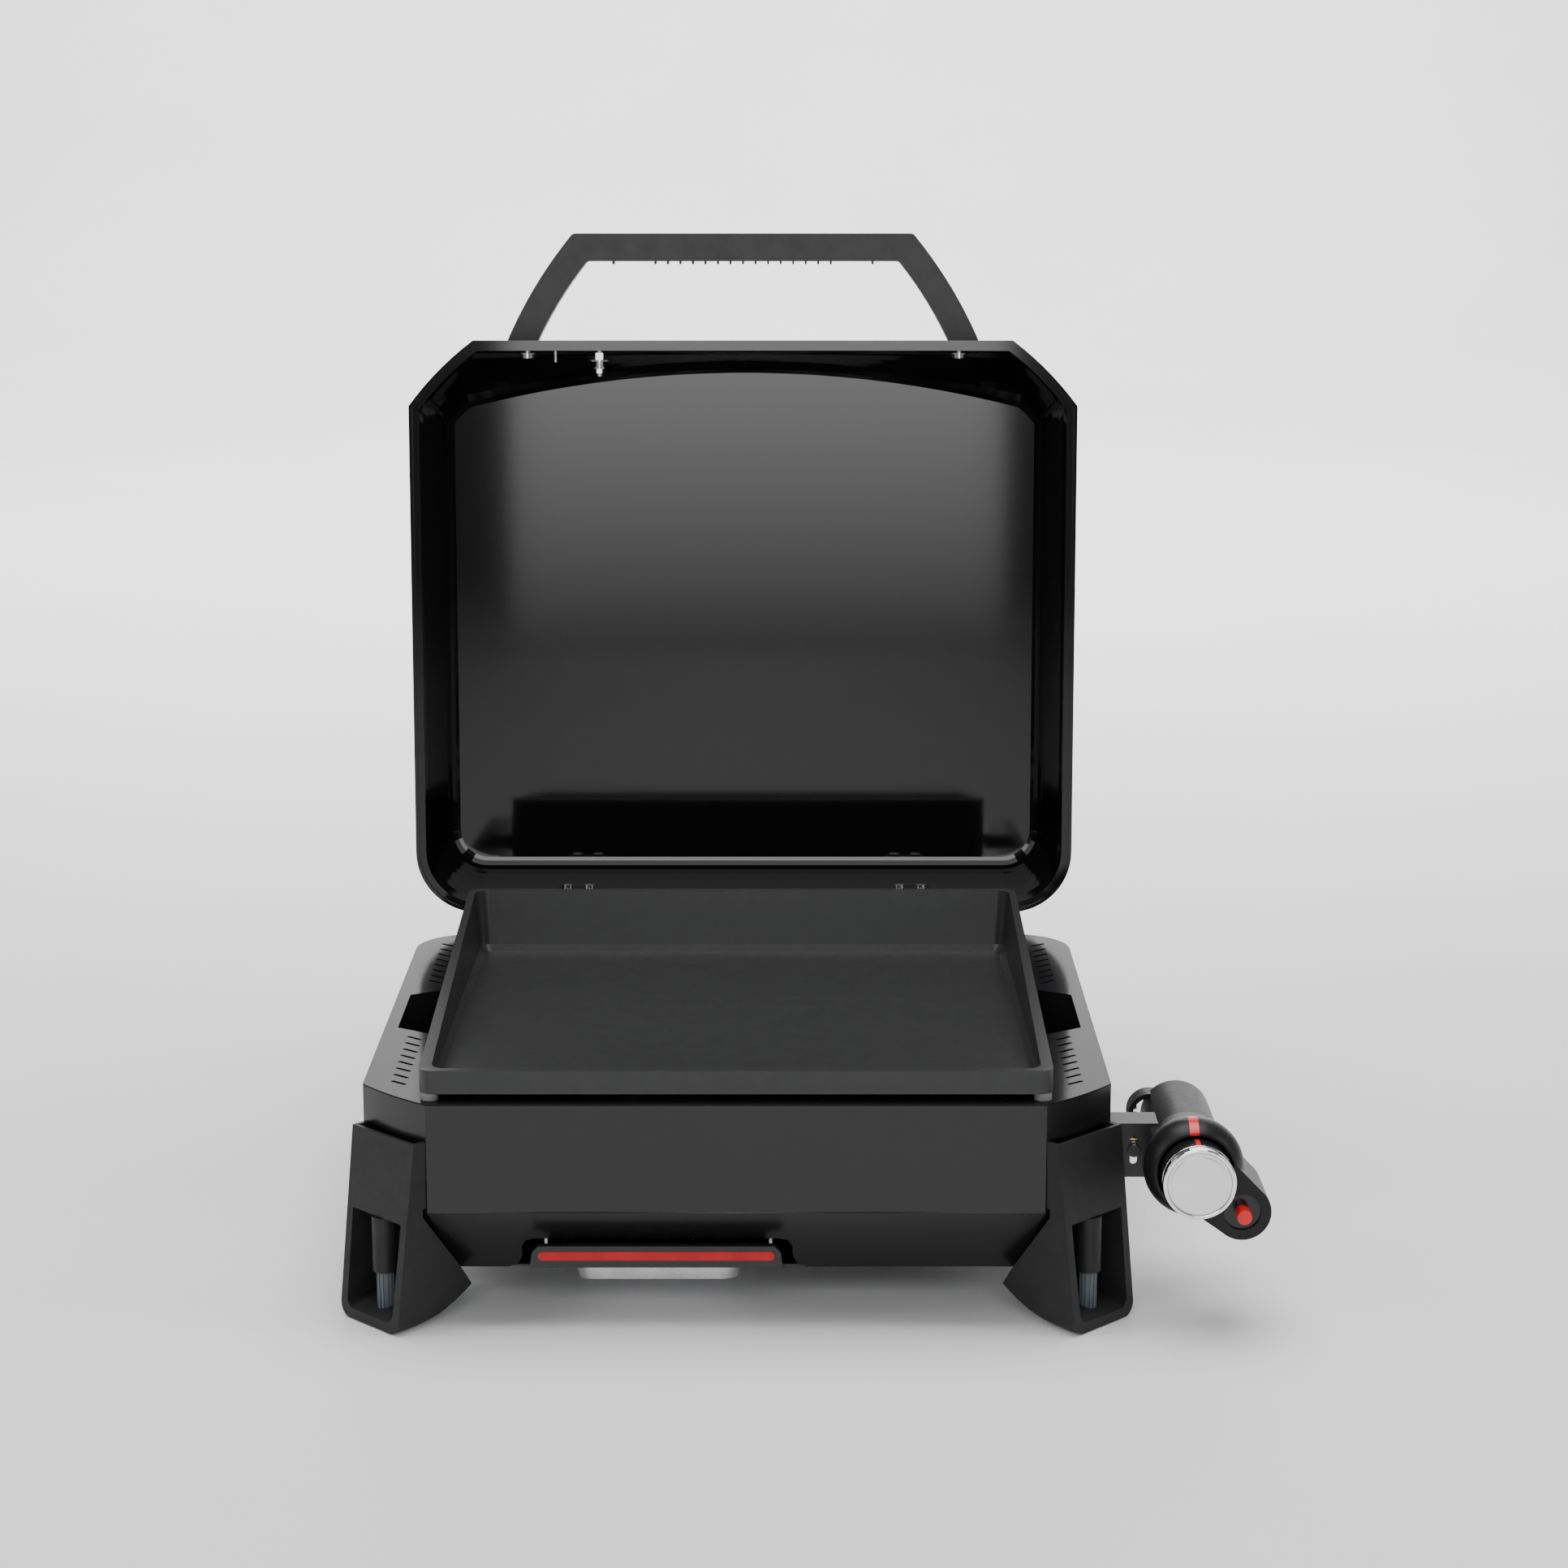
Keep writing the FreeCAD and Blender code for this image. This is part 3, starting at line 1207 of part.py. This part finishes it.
def igniter_button():
    shaft = rod(V(IGNITER.x, IGNITER.y - 5, IGNITER.z), Y_AXIS, 4.4, 18)
    cap = rod(V(IGNITER.x, IGNITER.y - 11.5, IGNITER.z), Y_AXIS, 5.2, 17)
    solid = shaft.fuse(cap).removeSplitter()
    front = [edge for edge in solid.Edges if abs(edge.CenterOfMass.y - IGNITER.y + 11.5) < 0.01]
    return solid.makeFillet(0.8, front)


SIDE_PLATE_SCREWS = (180.0, 350.0)


def side_plate():
    """A thin stepped plate that keeps the gas bottle off the hot side wall."""
    side = DECK_W / 2
    outline = [(154, 124), (385, 124), (385, 148), (282, 148), (279, 152), (154, 152)]
    plate = side_prism(outline, side, side + 2.4)
    return plate.cut([rod(V(side - 5, y, 140), X_AXIS, 2.5 + FIT, 20) for y in SIDE_PLATE_SCREWS])


# ---------------------------------------------------------------- assembly

def opened(shape):
    """Swings a lid piece from closed to the open pose."""
    turned = shape.copy()
    turned.rotate(HINGE_AT, X_AXIS, -LID_OPEN)
    return turned


def build():
    parts = {
        "cook_box": cook_box(),
        "top_deck": top_deck(),
        "grip_pockets": grip_pockets(),
        "leg_screws": leg_screws(),
        "griddle_plate": griddle_plate(),
        "griddle_feet": griddle_feet(),
        "hinge_bracket_left": hinge_bracket(-1),
        "hinge_bracket_right": hinge_bracket(1),
        "hinge_pins": hinge_pins(),
        "hinge_screws": hinge_screws(),
        "tray_rails": tray_rails(),
        "tray_frame": tray_frame(),
        "tray_handle": tray_handle(),
        "tray_stripe": stripe_block(82.4, 3.15, 5.7, 7.9),
        "foil_liner": foil_liner(),
        "burner_tube": burner_tube(),
        "burner_saddles": burner_saddles(),
        "heat_shield": heat_shield(),
        "grease_chute": grease_chute(),
        "electrode": electrode(),
        "electrode_clip": electrode_clip(),
        "control_housing": control_housing(),
        "bezel_marker": bezel_marker(),
        "valve_body": valve_body(),
        "diaphragm": diaphragm(),
        "regulator_spring": regulator_spring(),
        "knob_barrel": knob_barrel(),
        "knob_rim": knob_rim(),
        "knob_face": knob_face(),
        "control_bracket": control_bracket(),
        "bracket_bolt": bracket_bolt(),
        "side_screws": side_screws(),
        "gas_nozzle": gas_nozzle(),
        "inlet_collar": inlet_collar(),
        "inlet_seat": inlet_seat(),
        "outlet_guard": outlet_guard(),
        "guard_plug": guard_plug(),
        "igniter_arm": igniter_arm(),
        "igniter_seat": igniter_seat(),
        "piezo_body": piezo_body(),
        "igniter_button": igniter_button(),
        "side_plate": side_plate(),
        "rubber_feet": feet(),
    }
    for corner, (side, end) in CORNERS.items():
        parts["leg_" + corner] = at_corner(leg(), corner) if end < 0 else rear_leg(corner)
    lid_parts = {
        "lid_shell": lid_shell(),
        "lid_handle": lid_handle(),
        "handle_pads": handle_pads(),
        "handle_screws": handle_screws(),
        "lid_badge": lid_badge(),
        "badge_stud": badge_stud(),
        "badge_washer": badge_washer(),
        "badge_nut": badge_nut(),
        "badge_pin": badge_pin(),
        "hinge_strap_left": hinge_strap(-1),
        "hinge_strap_right": hinge_strap(1),
        "strap_plates": strap_plates(),
        "strap_screws": strap_screws(),
    }
    for name, shape in lid_parts.items():
        parts[name] = opened(shape)
    return parts


def export(parts):
    os.makedirs("parts", exist_ok=True)
    for name, shape in parts.items():
        moved = shape.copy()
        moved.translate(ORIGIN_SHIFT)
        moved.exportStep("parts/" + name + ".step")


def report_size(parts):
    whole = FreeCAD.BoundBox()
    for name, shape in parts.items():
        whole.add(shape.BoundBox)
        if not shape.isValid() or shape.Volume <= 0:
            print("bad shape:", name, shape.isValid(), shape.Volume)
    print("nodes", len(parts))
    print("x %.1f %.1f  y %.1f %.1f  z %.1f %.1f" % (
        whole.XMin, whole.XMax, whole.YMin, whole.YMax, whole.ZMin, whole.ZMax))
    print("middle x %.2f y %.2f" % ((whole.XMin + whole.XMax) / 2, (whole.YMin + whole.YMax) / 2))


ALL_PARTS = build()
report_size(ALL_PARTS)
export(ALL_PARTS)
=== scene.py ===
import json
import math

import bpy
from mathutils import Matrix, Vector


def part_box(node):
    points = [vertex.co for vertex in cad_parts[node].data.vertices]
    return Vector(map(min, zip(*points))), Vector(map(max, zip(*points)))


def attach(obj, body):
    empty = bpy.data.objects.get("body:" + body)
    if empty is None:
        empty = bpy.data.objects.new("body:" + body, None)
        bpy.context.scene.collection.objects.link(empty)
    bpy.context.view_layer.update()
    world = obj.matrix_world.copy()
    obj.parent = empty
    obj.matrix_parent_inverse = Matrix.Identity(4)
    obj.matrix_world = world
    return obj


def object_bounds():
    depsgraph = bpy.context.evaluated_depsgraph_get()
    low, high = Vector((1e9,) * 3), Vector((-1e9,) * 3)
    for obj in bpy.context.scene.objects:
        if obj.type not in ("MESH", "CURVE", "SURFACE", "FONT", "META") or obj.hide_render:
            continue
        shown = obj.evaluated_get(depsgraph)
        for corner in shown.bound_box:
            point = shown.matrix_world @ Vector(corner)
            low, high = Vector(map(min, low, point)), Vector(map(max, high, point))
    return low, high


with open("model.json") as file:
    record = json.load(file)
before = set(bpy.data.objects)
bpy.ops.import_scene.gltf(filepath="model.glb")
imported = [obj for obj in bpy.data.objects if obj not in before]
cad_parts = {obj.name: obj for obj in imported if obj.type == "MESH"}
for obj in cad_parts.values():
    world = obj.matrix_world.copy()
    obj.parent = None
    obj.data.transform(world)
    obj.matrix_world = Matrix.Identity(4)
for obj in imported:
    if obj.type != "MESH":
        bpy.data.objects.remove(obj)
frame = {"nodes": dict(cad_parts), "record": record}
CAD_LOW, CAD_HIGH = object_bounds()
NODES = frame["nodes"]

# Tabletop gas griddle, lid open. Metres, +Z up, front towards -Y.

CAMERA_PLACE = (-0.0122, -2.5636, 0.8917)
CAMERA_PITCH = math.radians(77.542)
CAMERA_LENS = 79.31
SENSOR = 36.0
MM = 0.001


# ---------------------------------------------------------------- shader helpers

def new_material(name, colour, roughness, metallic=0.0, coat=0.0, specular=0.5):
    material = bpy.data.materials.new(name)
    material.use_nodes = True
    shader = material.node_tree.nodes["Principled BSDF"]
    shader.inputs["Base Color"].default_value = (*colour, 1.0)
    shader.inputs["Roughness"].default_value = roughness
    shader.inputs["Metallic"].default_value = metallic
    shader.inputs["Coat Weight"].default_value = coat
    shader.inputs["Coat Roughness"].default_value = 0.05
    shader.inputs["Specular IOR Level"].default_value = specular
    return material


def surface_position(material, stretch=(1.0, 1.0, 1.0)):
    """The place on the piece, in metres, stretched along each axis."""
    tree = material.node_tree
    place = tree.nodes.new("ShaderNodeTexCoord")
    mapping = tree.nodes.new("ShaderNodeMapping")
    mapping.inputs["Scale"].default_value = stretch
    tree.links.new(place.outputs["Object"], mapping.inputs["Vector"])
    return mapping.outputs["Vector"]


def noise(material, scale, detail=3.0, stretch=(1.0, 1.0, 1.0)):
    tree = material.node_tree
    node = tree.nodes.new("ShaderNodeTexNoise")
    node.inputs["Scale"].default_value = scale
    node.inputs["Detail"].default_value = detail
    tree.links.new(surface_position(material, stretch), node.inputs["Vector"])
    return node.outputs["Fac"]


def cells(material, scale):
    tree = material.node_tree
    node = tree.nodes.new("ShaderNodeTexVoronoi")
    node.inputs["Scale"].default_value = scale
    tree.links.new(surface_position(material), node.inputs["Vector"])
    return node.outputs["Distance"]


def mottle(material, source, dark, light, low=0.35, high=0.65):
    """Base colour that wanders between two shades."""
    tree = material.node_tree
    ramp = tree.nodes.new("ShaderNodeValToRGB")
    ramp.color_ramp.elements[0].position = low
    ramp.color_ramp.elements[0].color = (*dark, 1.0)
    ramp.color_ramp.elements[1].position = high
    ramp.color_ramp.elements[1].color = (*light, 1.0)
    tree.links.new(source, ramp.inputs["Fac"])
    tree.links.new(ramp.outputs["Color"], tree.nodes["Principled BSDF"].inputs["Base Color"])


def vary_roughness(material, source, low, high):
    tree = material.node_tree
    span = tree.nodes.new("ShaderNodeMapRange")
    span.inputs["From Min"].default_value = 0.3
    span.inputs["From Max"].default_value = 0.7
    span.inputs["To Min"].default_value = low
    span.inputs["To Max"].default_value = high
    tree.links.new(source, span.inputs["Value"])
    tree.links.new(span.outputs["Result"], tree.nodes["Principled BSDF"].inputs["Roughness"])


def emboss(material, source, depth, strength=1.0):
    """Bump of the given depth in metres."""
    tree = material.node_tree
    bump = tree.nodes.new("ShaderNodeBump")
    bump.inputs["Strength"].default_value = strength
    bump.inputs["Distance"].default_value = depth
    tree.links.new(source, bump.inputs["Height"])
    tree.links.new(bump.outputs["Normal"], tree.nodes["Principled BSDF"].inputs["Normal"])


# ---------------------------------------------------------------- materials

def enamel(name, colour, roughness, peel_depth, specular=0.5, ior=1.5):
    """Baked enamel: a smooth coat with fine speckle and faint orange peel."""
    material = new_material(name, colour, roughness, specular=specular)
    material.node_tree.nodes["Principled BSDF"].inputs["IOR"].default_value = ior
    lighter = tuple(c * 1.12 for c in colour)
    mottle(material, noise(material, 700.0, 3.0), colour, lighter)
    vary_roughness(material, noise(material, 900.0, 2.0), roughness * 0.96, roughness * 1.05)
    emboss(material, noise(material, 260.0, 1.0), peel_depth, 0.15)
    return material


def coated_iron(name):
    """Dark non-stick coating with a fine pebbled surface."""
    dark, light = (0.018, 0.0183, 0.0186), (0.0205, 0.0208, 0.0212)
    material = new_material(name, dark, 0.34, specular=0.42)
    mottle(material, noise(material, 90.0, 6.0), dark, light)
    vary_roughness(material, noise(material, 140.0, 5.0), 0.31, 0.36)
    emboss(material, noise(material, 1500.0, 3.0), 0.00004, 0.5)
    return material


def moulded(name, colour, roughness, grain_scale, grain_depth, specular=0.25):
    """Moulded plastic or rubber with a fine cast-in grain."""
    material = new_material(name, colour, roughness, specular=specular)
    lighter = tuple(c * 1.25 for c in colour)
    mottle(material, noise(material, 60.0, 5.0), colour, lighter)
    vary_roughness(material, noise(material, 200.0, 3.0), roughness * 0.9, roughness * 1.1)
    emboss(material, cells(material, grain_scale), grain_depth, 0.4)
    return material


def glossy(name, colour, roughness):
    """Polished plastic with very slight flow marks."""
    material = new_material(name, colour, roughness, coat=0.05, specular=0.4)
    lighter = tuple(min(1.0, c * 1.12) for c in colour)
    mottle(material, noise(material, 80.0, 3.0), colour, lighter)
    emboss(material, noise(material, 240.0, 2.0), 0.00004, 0.25)
    return material


def metal(name, dark, light, roughness, stretch, depth=0.00002):
    """Bare metal with fine marks drawn out along one axis."""
    material = new_material(name, dark, roughness, metallic=1.0)
    grain = noise(material, 90.0, 6.0, stretch)
    mottle(material, grain, dark, light)
    vary_roughness(material, grain, roughness * 0.8, roughness * 1.25)
    emboss(material, grain, depth, 0.5)
    return material


def pressed_foil(name):
    """Thin aluminium with soft creases."""
    material = new_material(name, (0.80, 0.80, 0.81), 0.24, metallic=1.0)
    mottle(material, noise(material, 40.0, 5.0), (0.70, 0.70, 0.71), (0.86, 0.86, 0.87))
    vary_roughness(material, noise(material, 120.0, 4.0), 0.18, 0.32)
    emboss(material, noise(material, 60.0, 3.0), 0.0001, 0.3)
    return material


def burner_metal(name):
    """Steel that has been warmed: brownish patches over grey."""
    material = new_material(name, (0.42, 0.40, 0.37), 0.4, metallic=1.0)
    mottle(material, noise(material, 35.0, 7.0), (0.26, 0.22, 0.18), (0.50, 0.49, 0.47))
    vary_roughness(material, noise(material, 150.0, 4.0), 0.32, 0.5)
    emboss(material, noise(material, 500.0, 3.0), 0.00004, 0.5)
    return material


EVEN = (1.0, 1.0, 1.0)
ALONG_Y = (6.0, 0.4, 6.0)

MATERIALS = {
    "lid_enamel": enamel("lid_enamel", (0.003, 0.003, 0.003), 0.06, 0.00001, specular=0.42),
    "deck_enamel": enamel("deck_enamel", (0.010, 0.010, 0.011), 0.12, 0.00001, specular=0.3, ior=1.22),
    "box_enamel": enamel("box_enamel", (0.008, 0.008, 0.008), 0.24, 0.000005, specular=0.42),
    "pan_iron": coated_iron("pan_iron"),
    "leg_plastic": moulded("leg_plastic", (0.014, 0.014, 0.0145), 0.5, 1500.0, 0.00006),
    "handle_plastic": moulded("handle_plastic", (0.030, 0.030, 0.031), 0.45, 1700.0, 0.00006),
    "housing_plastic": moulded("housing_plastic", (0.0055, 0.0055, 0.006), 0.4, 1800.0, 0.00004),
    "seat_plastic": glossy("seat_plastic", (0.008, 0.008, 0.009), 0.12),
    "knob_plastic": glossy("knob_plastic", (0.010, 0.010, 0.011), 0.22),
    "knob_chrome": metal("knob_chrome", (0.82, 0.82, 0.83), (0.88, 0.88, 0.89), 0.06, EVEN),
    "knob_silver": metal("knob_silver", (0.74, 0.74, 0.74), (0.80, 0.80, 0.80), 0.34, (1.0, 1.0, 30.0)),
    "red_plastic": glossy("red_plastic", (0.66, 0.008, 0.012), 0.28),
    "red_stripe": moulded("red_stripe", (0.42, 0.008, 0.013), 0.45, 1500.0, 0.00004),
    "foot_rubber": moulded("foot_rubber", (0.10, 0.11, 0.115), 0.75, 900.0, 0.00008),
    "pad_rubber": moulded("pad_rubber", (0.16, 0.16, 0.16), 0.7, 900.0, 0.00008),
    "black_steel": enamel("black_steel", (0.014, 0.014, 0.0145), 0.38, 0.00006, specular=0.4),
    "tray_paint": enamel("tray_paint", (0.014, 0.014, 0.014), 0.36, 0.00006, specular=0.4),
    "foil": pressed_foil("foil"),
    "bare_steel": metal("bare_steel", (0.52, 0.52, 0.53), (0.66, 0.66, 0.67), 0.22, EVEN),
    "burner_steel": burner_metal("burner_steel"),
    "brass": metal("brass", (0.62, 0.45, 0.20), (0.74, 0.57, 0.28), 0.28, ALONG_Y),
    "electrode_ceramic": glossy("electrode_ceramic", (0.80, 0.78, 0.72), 0.3),
}


def paint_nodes():
    """Gives each CAD node the detailed material of its slot."""
    for subpart in frame["record"]["subparts"]:
        mesh = NODES[subpart["node"]].data
        mesh.materials.clear()
        mesh.materials.append(MATERIALS[subpart["material_slot"]])


# ---------------------------------------------------------------- detail pieces

def node_centre(node):
    low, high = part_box(node)
    return (low + high) / 2


def lathe(profile, centre, turns=96):
    """Points and faces of (radius, depth) turned round an axis along Y, closed into a ring."""
    points = []
    faces = []
    count = len(profile)
    for i in range(turns):
        angle = 2 * math.pi * i / turns
        for radius, depth in profile:
            spoke = Vector((math.cos(angle) * radius, depth, math.sin(angle) * radius))
            points.append(centre + spoke)
    for i in range(turns):
        after = (i + 1) % turns
        for j in range(count):
            k = (j + 1) % count
            faces.append((i * count + j, i * count + k, after * count + k, after * count + j))
    return points, faces


def make_piece(name, points, faces, slot, body, smooth=True):
    mesh = bpy.data.meshes.new(name)
    mesh.from_pydata([tuple(p) for p in points], [], faces)
    mesh.validate()
    mesh.polygons.foreach_set("use_smooth", [smooth] * len(mesh.polygons))
    mesh.materials.append(MATERIALS[slot])
    piece = bpy.data.objects.new(name, mesh)
    bpy.context.scene.collection.objects.link(piece)
    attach(piece, body)
    return piece


def round_profile(radius, depth, half, points=12):
    """A small circle of the given half-width, as (radius, depth) points."""
    ring = []
    for i in range(points):
        angle = 2 * math.pi * i / points
        ring.append((radius + half * math.cos(angle), depth + half * math.sin(angle)))
    return ring


def knob_details():
    """A thin bright ring round the front of the barrel and a red pointer in its groove."""
    low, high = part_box("knob_barrel")
    axis = node_centre("knob_rim")
    groove_radius = 24.6 * MM
    ring_depth = low.y + 4 * MM
    ring = round_profile(groove_radius, ring_depth - axis.y, 0.35 * MM)
    points, faces = lathe(ring, axis)
    make_piece("barrel_ring", points, faces, "knob_chrome", "knob")
    half = 1.7 * MM
    front, back = low.y + 2.6 * MM, low.y + 19.0 * MM
    foot, top = axis.z + 23.6 * MM, axis.z + 24.5 * MM
    points = []
    for z, inset in ((foot, 0.0), (top - 0.2 * MM, 0.0), (top, 0.25 * MM)):
        points.append(Vector((axis.x - half + inset, front + inset, z)))
        points.append(Vector((axis.x + half - inset, front + inset, z)))
        points.append(Vector((axis.x + half - inset, back - inset, z)))
        points.append(Vector((axis.x - half + inset, back - inset, z)))
    faces = [(3, 2, 1, 0), (8, 9, 10, 11)]
    for layer in (0, 4):
        for i in range(4):
            j = (i + 1) % 4
            faces.append((layer + i, layer + j, layer + 4 + j, layer + 4 + i))
    make_piece("knob_pointer", points, faces, "red_plastic", "knob", smooth=False)


def swept_tube(path, radius, sides=10):
    """Points and faces of a round bead along an open path, with closed ends."""
    points = []
    faces = []
    for i, here in enumerate(path):
        ahead = path[min(i + 1, len(path) - 1)] - path[max(i - 1, 0)]
        across = ahead.cross(Vector((0.0, 0.0, 1.0))).normalized()
        for j in range(sides):
            angle = 2 * math.pi * j / sides
            up = Vector((0.0, 0.0, math.sin(angle) * radius))
            points.append(here + across * (math.cos(angle) * radius) + up)
    for i in range(len(path) - 1):
        for j in range(sides):
            k = (j + 1) % sides
            faces.append((i * sides + j, i * sides + k, (i + 1) * sides + k, (i + 1) * sides + j))
    faces.append(tuple(range(sides)))
    faces.append(tuple(range(len(points) - 1, len(points) - sides - 1, -1)))
    return points, faces


def crease_bead():
    """The rounded fold where the cook box's front wall turns inwards, along the straight front."""
    low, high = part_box("cook_box")
    crease = 85.5 * MM
    chamfer = 48.5 * MM
    sink = 0.3 * MM
    ends = (low.x + chamfer, high.x - chamfer)
    path = [Vector((x, low.y + sink, crease)) for x in ends]
    points, faces = swept_tube(path, 0.9 * MM)
    make_piece("crease_bead", points, faces, "box_enamel", "base")


# ---------------------------------------------------------------- stage

def floor_and_world():
    """A pale floor that curves up far behind, and a soft white room."""
    material = new_material("studio_floor", (0.86, 0.86, 0.86), 0.6)
    mottle(material, noise(material, 2.0, 3.0), (0.85, 0.85, 0.85), (0.88, 0.88, 0.88))
    half, near, far, bend, top = 9.0, -9.0, 5.0, 3.0, 7.0
    outline = [(near, 0.0), (far, 0.0)]
    for i in range(1, 13):
        angle = math.pi / 2 * i / 12
        outline.append((far + bend * math.sin(angle), bend * (1 - math.cos(angle))))
    outline.append((far + bend, top))
    points = []
    for y, z in outline:
        points.extend([(-half, y, z), (half, y, z)])
    faces = [(2 * i, 2 * i + 1, 2 * i + 3, 2 * i + 2) for i in range(len(outline) - 1)]
    mesh = bpy.data.meshes.new("floor")
    mesh.from_pydata(points, [], faces)
    mesh.polygons.foreach_set("use_smooth", [True] * len(mesh.polygons))
    mesh.materials.append(material)
    floor = bpy.data.objects.new("floor", mesh)
    bpy.context.scene.collection.objects.link(floor)
    world = bpy.data.worlds.new("room")
    world.use_nodes = True
    backdrop = world.node_tree.nodes["Background"]
    backdrop.inputs["Color"].default_value = (0.95, 0.96, 1.0, 1.0)
    backdrop.inputs["Strength"].default_value = 0.22
    bpy.context.scene.world = world


def softbox(name, place, aim, width, height, power):
    light = bpy.data.lights.new(name, "AREA")
    light.shape = "RECTANGLE"
    light.size = width
    light.size_y = height
    light.energy = power
    lamp = bpy.data.objects.new(name, light)
    bpy.context.scene.collection.objects.link(lamp)
    lamp.location = place
    lamp.rotation_euler = (Vector(aim) - Vector(place)).to_track_quat("-Z", "Y").to_euler()


def front_card():
    """A glowing card behind the camera, brighter towards its top, that the lid's inside reflects."""
    material = bpy.data.materials.new("front_card")
    material.use_nodes = True
    tree = material.node_tree
    tree.nodes.clear()
    place = tree.nodes.new("ShaderNodeTexCoord")
    split = tree.nodes.new("ShaderNodeSeparateXYZ")
    climb = tree.nodes.new("ShaderNodeMapRange")
    glow = tree.nodes.new("ShaderNodeEmission")
    output = tree.nodes.new("ShaderNodeOutputMaterial")
    climb.inputs["From Min"].default_value = 0.0
    climb.inputs["From Max"].default_value = 1.1
    climb.inputs["To Min"].default_value = 0.9
    climb.inputs["To Max"].default_value = 8.0
    tree.links.new(place.outputs["Object"], split.inputs["Vector"])
    tree.links.new(split.outputs["Z"], climb.inputs["Value"])
    tree.links.new(climb.outputs["Result"], glow.inputs["Strength"])
    tree.links.new(glow.outputs["Emission"], output.inputs["Surface"])
    left, right, depth, top = -0.66, 0.51, -5.0, 1.6
    mesh = bpy.data.meshes.new("front_card")
    corners = [(left, depth, 0.0), (right, depth, 0.0), (right, depth, top), (left, depth, top)]
    mesh.from_pydata(corners, [], [(3, 2, 1, 0)])
    mesh.materials.append(material)
    card = bpy.data.objects.new("front_card", mesh)
    bpy.context.scene.collection.objects.link(card)


def lights():
    centre = (CAD_LOW + CAD_HIGH) / 2
    softbox("overhead", (0.0, 0.3, 3.4), centre, 3.0, 2.4, 140.0)
    softbox("front_box", (0.0, -3.4, 2.1), centre, 2.6, 1.2, 34.0)
    softbox("left_box", (-3.2, -1.0, 1.9), centre, 0.9, 2.0, 30.0)
    softbox("right_box", (3.2, -0.8, 1.8), centre, 0.9, 2.0, 26.0)
    softbox("backdrop_box", (0.0, 2.4, 4.2), (0.0, 7.0, 1.6), 6.0, 1.0, 900.0)


def camera():
    data = bpy.data.cameras.new("view")
    data.lens = CAMERA_LENS
    data.sensor_width = SENSOR
    data.clip_end = 60.0
    lens = bpy.data.objects.new("view", data)
    lens.location = CAMERA_PLACE
    lens.rotation_euler = (CAMERA_PITCH, 0.0, 0.0)
    bpy.context.scene.collection.objects.link(lens)
    bpy.context.scene.camera = lens


camera()
paint_nodes()
knob_details()
crease_bead()
floor_and_world()
front_card()
lights()
